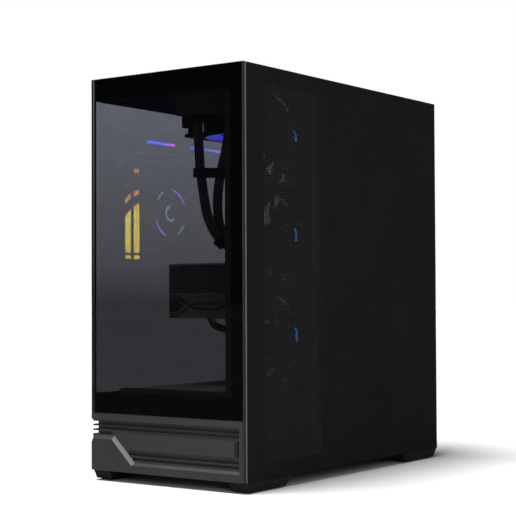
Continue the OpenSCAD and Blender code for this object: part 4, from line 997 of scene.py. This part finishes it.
def graphics_card():
    """End face with crossing ribs and bright seams, shroud and backplate, fins and bracket."""
    lo, hi = box("card_shroud")
    y, x0, x1, z0, z1 = lo[1], lo[0], hi[0], lo[2], hi[2]
    mid = (z0 + z1) / 2
    refine("card_shroud", MAT["card_shroud"], 0.6, 2)
    refine("card_board", MAT["card"], 0.6, 2)
    refine("card_heatsink", MAT["alu"], 0.0)
    bm = bmesh.new()
    for k in range(2):
        big, small = 12.6 - 2.9 * k, 4.4 - 2.1 * k
        for s in (1, -1):
            far, near = mid + s * big, mid - s * small
            pts = [(x0 + 0.6, far), (x0 + 15 - k, far), (x0 + 42 - k * 2, near),
                   (x0 + 78 + k * 2, near), (x0 + 105 + k, far), (x0 + 128, far),
                   (x1 - 0.6, mid + s * 2)]
            rib(bm, pts, y, width=1.1)
    # Dark plate that fills the left hexagon
    tip = [(x0 + 0.6, mid - 7), (x0 + 12.5, mid - 7), (x0 + 24, mid), (x0 + 12.5, mid + 7),
           (x0 + 0.6, mid + 7)]
    face, back = ([bm.verts.new((px * MM, (y + d) * MM, pz * MM)) for px, pz in tip]
                  for d in (-0.6, 0.3))
    for k in range(5):
        bm.faces.new((face[k], face[(k + 1) % 5], back[(k + 1) % 5], back[k]))
    bm.faces.new(face)
    bm.faces.new(list(reversed(back)))
    to_object("card_end_ribs", bm, MAT["card_rib"], "chassis", "black_plastic")
    blo, bhi = box("card_board")
    front = min(y, blo[1])
    bm = bmesh.new()
    for z, thick in ((z1 + 0.05, 0.5), (bhi[2] - 2.1, 1.7)):
        block(bm, (x0 + 1, front - 0.35, z), (x1 - 1, front + 0.4, z + thick), r=0.12)
        for x in (x0 + 11, x0 + 52, x1 - 30):
            block(bm, (x, front - 0.6, z + 0.1), (x + 7, front + 0.2, z + thick - 0.1), r=0.1)
    to_object("card_end_seams", bm, MAT["seam"], "chassis", "bright_steel")
    # Painted shade: dark plates set inside the backplate's screw holes
    bm = bmesh.new()
    for x in (x0 + 19.5, (x0 + x1) / 2, x1 - 19.5):
        block(bm, (x - 2.4, blo[1] + 1.2, bhi[2] - 12), (x + 2.4, blo[1] + 1.8, bhi[2] - 7),
              r=0.1)
    to_object("card_hole_shade_plugs", bm, MAT["card_hole_painted_shade"], "chassis", "dark_aluminium")
    # Rings round the fan openings and slots along the outer edge
    bm = bmesh.new()
    for k in ("front", "middle", "rear"):
        c = Vector(joints["card_spin_" + k]["pos_m"]) / MM
        lathe(bm, [(45.6, z0 - 0.6), (48.6, z0 - 0.6), (49.2, z0), (49.2, z0 + 0.4),
                   (45.6, z0 + 0.4)], centre=(c.x, c.y, 0))
    for i in range(9):
        ya = y + 14 + i * 36
        block(bm, (x0 - 0.5, ya, z0 + 6), (x0 + 0.2, ya + 22, z0 + 9), r=0.2)
        block(bm, (x0 - 0.5, ya, z0 + 20), (x0 + 0.2, ya + 30, z0 + 21.4), r=0.2)
    to_object("card_shroud_details", bm, MAT["card_rib"], "chassis", "black_plastic")
    refine("card_bracket", MAT["plated"], 0.15, 1)


# ---------------------------------------------------------------- mainboard
def mainboard():
    """Board with coils, cans and chips in the places that its larger parts leave free."""
    lo, hi = box("mainboard")
    refine("mainboard", MAT["pcb"], 0.0)
    x, y0, z0 = lo
    y1, z1 = hi[1:]
    pump_lo, pump_hi = box("pump_head")
    yc, zc = (pump_lo[1] + 4 + pump_hi[1]) / 2, pump_lo[2] + 37
    chokes, cans, chips = bmesh.new(), bmesh.new(), bmesh.new()
    for i in range(9):
        z = zc - 44 + i * 11.6
        block(chokes, (x - 6, yc + 38, z), (x - 0.02, yc + 45, z + 8), r=0.7, seg=2)
    for i in range(6):
        yy = yc - 40 + i * 13
        block(chokes, (x - 6, yy, zc + 43), (x - 0.02, yy + 8.5, zc + 49), r=0.7, seg=2)
    can = [(0.01, 0), (2.9, 0), (3.1, 0.4), (3.1, 6.2), (2.8, 6.7), (0.01, 6.7)]
    spots = [(yc - 34 + 7.2 * i, zc - 50) for i in range(10)]
    spots += [(y0 + 9 + 7.5 * i, z0 + 78) for i in range(6)]
    spots += [(y1 - 22, z0 + 20 + 8 * i) for i in range(5)]
    spots += [(y0 + 30, zc - 30 + 9 * i) for i in range(7)]
    for yy, zz in spots:
        turned(cans, can, (x - 0.02, yy, zz), (-1, 0, 0))
    sizes = [(1.6, 0.9, 0.7), (1.0, 2.0, 0.8), (4, 4, 1.0), (6, 5, 1.2), (2.4, 1.4, 0.9)]
    for _ in range(150):
        yy, zz = random.uniform(y0 + 4, y1 - 8), random.uniform(z0 + 4, z1 - 6)
        w, h, t = random.choice(sizes)
        block(chips, (x - t, yy, zz), (x - 0.02, yy + w, zz + h), r=0)
    to_object("board_coils", chokes, MAT["sink"], "chassis", "circuit_board")
    to_object("board_capacitors", cans, MAT["capacitor"], "chassis", "circuit_board")
    to_object("board_chips", chips, MAT["plastic"], "chassis", "circuit_board", smooth=False)
    refine("board_heatsinks", MAT["sink"], 0.5, 2)
    refine("board_connectors", MAT["plastic"], 0.3, 1)
    refine("rear_io_ports", MAT["plated"], 0.2, 1)
    # Dark mouths and coloured tongues of the rear connectors
    yr = box("rear_io_ports")[1][1] - 0.8
    bm = bmesh.new()
    base = z0 + 146
    for za, pair, depth in ((16, True, 20), (34, True, 30), (52, True, 30), (70, False, 30),
                            (94, True, 20)):
        for j in range(2 if pair else 1):
            zb = base + za + 2 + j * 7.4
            block(bm, (x - depth + 2.4, yr - 0.3, zb),
                  (x - 2.4, yr + 0.5, zb + (5.2 if pair else 17)), r=0.1)
            if pair:
                block(bm, (x - depth + 4, yr + 0.4, zb + 2.4), (x - 4, yr + 0.7, zb + 4),
                      r=0.1, mat=1)
    jack = [(1.9, 0), (3.2, 0), (3.2, 1.4), (2.9, 1.7), (2.2, 1.7), (1.9, 1.4)]
    for k in range(5):
        turned(bm, jack, (x - 10 - 8 * (k % 2), yr, base + 115 + 9 * (k // 2)), (0, 1, 0))
    to_object("rear_socket_mouths", bm, [MAT["plastic"], MAT["blue"]], "chassis",
              "black_plastic")


# ---------------------------------------------------------------- chassis
def trim():
    """Moulded trim: its raised block ends in a slant painted lighter as a painted highlight, and the faces deep in
    its slots are painted darker as painted shade.
    """
    face = CASE_LO[1]

    def choose(c, n):
        # Painted highlight: faces on the left that slant up, right and forward take the lighter bar material
        if n.x > 0.25 and n.y < -0.3 and n.z > 0.2 and c.x < -30:
            return 1
        # Painted shade: front faces 4.5 to 8 mm behind the front, deep in the slots, take the darker copy of the
        # trim plastic
        return 2 if n.y < -0.9 and face + 4.5 < c.y < face + 8 else 0

    refine("front_trim", [MAT["trim"], MAT["trim_bar_painted_highlight"], MAT["trim_recess_painted_shade"]], 0.45, 2,
           choose=choose)
    refine("left_skirt", MAT["trim"], 0.4)
    refine("feet", MAT["plastic"], 0.8)
    refine("foot_pads", MAT["rubber"], 0.5)


def shroud():
    """Cover over the power supply, with a finely perforated top painted much lighter than the cover's steel, as
    painted light from above.
    """
    refine("psu_shroud", MAT["steel_inner"], 0.4, 2)
    lo, hi = box("psu_shroud")
    perforated("shroud_mesh_painted_light", "chassis", "steel_black", MAT["shroud_mesh_painted_light"],
               origin=(-66, lo[1] + 4, hi[2] + 0.35), u=(1, 0, 0), v=(0, 1, 0), size=(130, 180),
               pitch=2.5, hole=1.6, depth=(0, 0, -0.32))


def filters():
    """Frames of the dust filters with their fine mesh."""
    for node, pitch, inset in (("top_filter", 3.6, 9), ("base_filter", 3.4, 7)):
        lo, hi = box(node)
        refine(node, MAT["filter"], 0.3)
        up = node == "top_filter"
        z = hi[2] - 0.35 if up else lo[2] + 0.35
        perforated(node + "_mesh", body_of_node[node], slot_of_node[node], MAT["steel"],
                   origin=(lo[0] + inset, lo[1] + inset, z), u=(1, 0, 0), v=(0, 1, 0),
                   size=(hi[0] - lo[0] - 2 * inset, hi[1] - lo[1] - 2 * inset), pitch=pitch,
                   hole=2.0, depth=(0, 0, -0.3 if up else 0.3))


def chassis():
    for n in ("board_tray", "top_panel", "control_deck", "side_rails", "side_fan_bracket"):
        refine(n, MAT["steel_inner"], 0.25, 1)
    # Painted light: these take the lighter copy of the inner steel
    for n in ("base_pan", "rear_panel", "psu_case", "psu_rear", "slot_covers"):
        refine(n, MAT["steel_rear_painted_light"], 0.25, 1)
    refine("front_frame", MAT["flange"], 0.3, 1)
    refine("top_io_board", MAT["pcb"], 0.0)
    for n in ("top_io_ports", "screws"):
        refine(n, MAT["plated"], 0.15, 1)
    for n in ("power_button", "light_button"):
        refine(n, MAT["plastic"], 0.4, 2)
    for n in ("psu_inlet", "psu_switch"):
        refine(n, MAT["plastic"], 0.3)
    refine("power_cables", MAT["sleeve"], 0.0)


def glass():
    """Panes with printed edges. across is the axis that a pane's faces look along."""
    for n, across in (("front_glass", 1), ("left_glass", 0)):
        refine(n, [MAT["glass"], MAT["print"]], 0.5, 2,
               choose=lambda c, d: int(abs(d[across]) < 0.9))
        refine(n + "_band", MAT["print"], 0.0)


# ---------------------------------------------------------------- stage and light
FLOOR_SIZE = 40.0  # half its side, in m


def ray(nt, flag):
    return nt.nodes.new("ShaderNodeLightPath").outputs[flag]


def through_glass(nt):
    """1 for a ray that has come through a pane."""
    return calc(nt, "GREATER_THAN", ray(nt, "Transparent Depth"), 0.5)


def stage():
    """A pale floor, which is darker where a pane or a mirrored ray shows it."""
    bm = bmesh.new()
    s = FLOOR_SIZE
    bm.faces.new([bm.verts.new((x * s, y * s, -0.2 * MM))
                  for x, y in ((-1, -1), (1, -1), (1, 1), (-1, 1))])
    me = bpy.data.meshes.new("floor")
    bm.to_mesh(me)
    bm.free()
    o = bpy.data.objects.new("floor", me)
    scene.collection.objects.link(o)
    m, nt, p = principled("floor", {"Roughness": 0.9, "Specular IOR Level": 0.0})
    pale = ramp(nt, noise(nt, 2.0), [(0.3, (0.80, 0.80, 0.805)), (0.7, (0.82, 0.82, 0.825))])
    room = mix_color(nt, through_glass(nt), pale, (0.19, 0.178, 0.19))
    shown = mix_color(nt, ray(nt, "Is Glossy Ray"), room, (0.02, 0.02, 0.02))
    nt.links.new(shown, p.inputs["Base Color"])
    me.materials.append(m)


def background(nt, color, strength):
    return add(nt, "Background", {"Color": color, "Strength": strength}).outputs[0]


def lights():
    w = bpy.data.worlds.new("studio")
    scene.world = w
    w.use_nodes = True
    nt = w.node_tree
    nt.nodes.clear()
    out = nt.nodes.new("ShaderNodeOutputWorld")
    # The studio seen through the panes: a cool wall that darkens towards the floor
    toward = nt.nodes.new("ShaderNodeTexCoord").outputs["Generated"]
    up = add(nt, "SeparateXYZ", {0: toward}).outputs["Z"]
    wall = ramp(nt, map_range(nt, up, (-0.02, 0.155)),
                [(0.0, (0.08, 0.076, 0.083)), (0.25, (0.44, 0.43, 0.465)),
                 (1.0, (0.85, 0.90, 1.0))])
    cool = (0.93, 0.95, 1)
    world = mix_shader(nt, through_glass(nt), background(nt, WHITE, 1.0),
                       background(nt, wall, 1.22))
    world = mix_shader(nt, ray(nt, "Is Diffuse Ray"), world, background(nt, cool, 0.045))
    world = mix_shader(nt, ray(nt, "Is Glossy Ray"), world, background(nt, cool, 0.012))
    nt.links.new(world, out.inputs["Surface"])

    def area(name, at, aim, size, power):
        ld = bpy.data.lights.new(name, "AREA")
        ld.shape = "RECTANGLE"
        ld.size, ld.size_y = size
        ld.energy = power
        o = bpy.data.objects.new(name, ld)
        scene.collection.objects.link(o)
        o.location = at
        o.rotation_euler = (Vector(aim) - Vector(at)).to_track_quat("-Z", "Y").to_euler()
        # The panes don't mirror the lamps
        o.visible_glossy = False

    sun = bpy.data.lights.new("overhead", "SUN")
    sun.energy = 4.2
    sun.angle = math.radians(26)
    o = bpy.data.objects.new("overhead", sun)
    scene.collection.objects.link(o)
    o.rotation_euler = (Vector((0.12, 0.25, -1))).to_track_quat("-Z", "Y").to_euler()
    area("right", (2.6, 0.6, 1.6), (0, 0, 0.25), (1.6, 2.0), 9)
    area("front", (0.6, -3.0, 1.4), (0, 0, 0.15), (1.0, 1.0), 9)
    area("corner", (0.85, -0.85, 0.35), (0.1, -0.22, 0.2), (0.3, 0.5), 1.6)


def main():
    add_camera()
    side_panel()
    fans()
    glass()
    trim()
    chassis()
    shroud()
    filters()
    coolant_tubes()
    radiator()
    pump()
    memory()
    graphics_card()
    mainboard()
    stage()
    lights()


main()
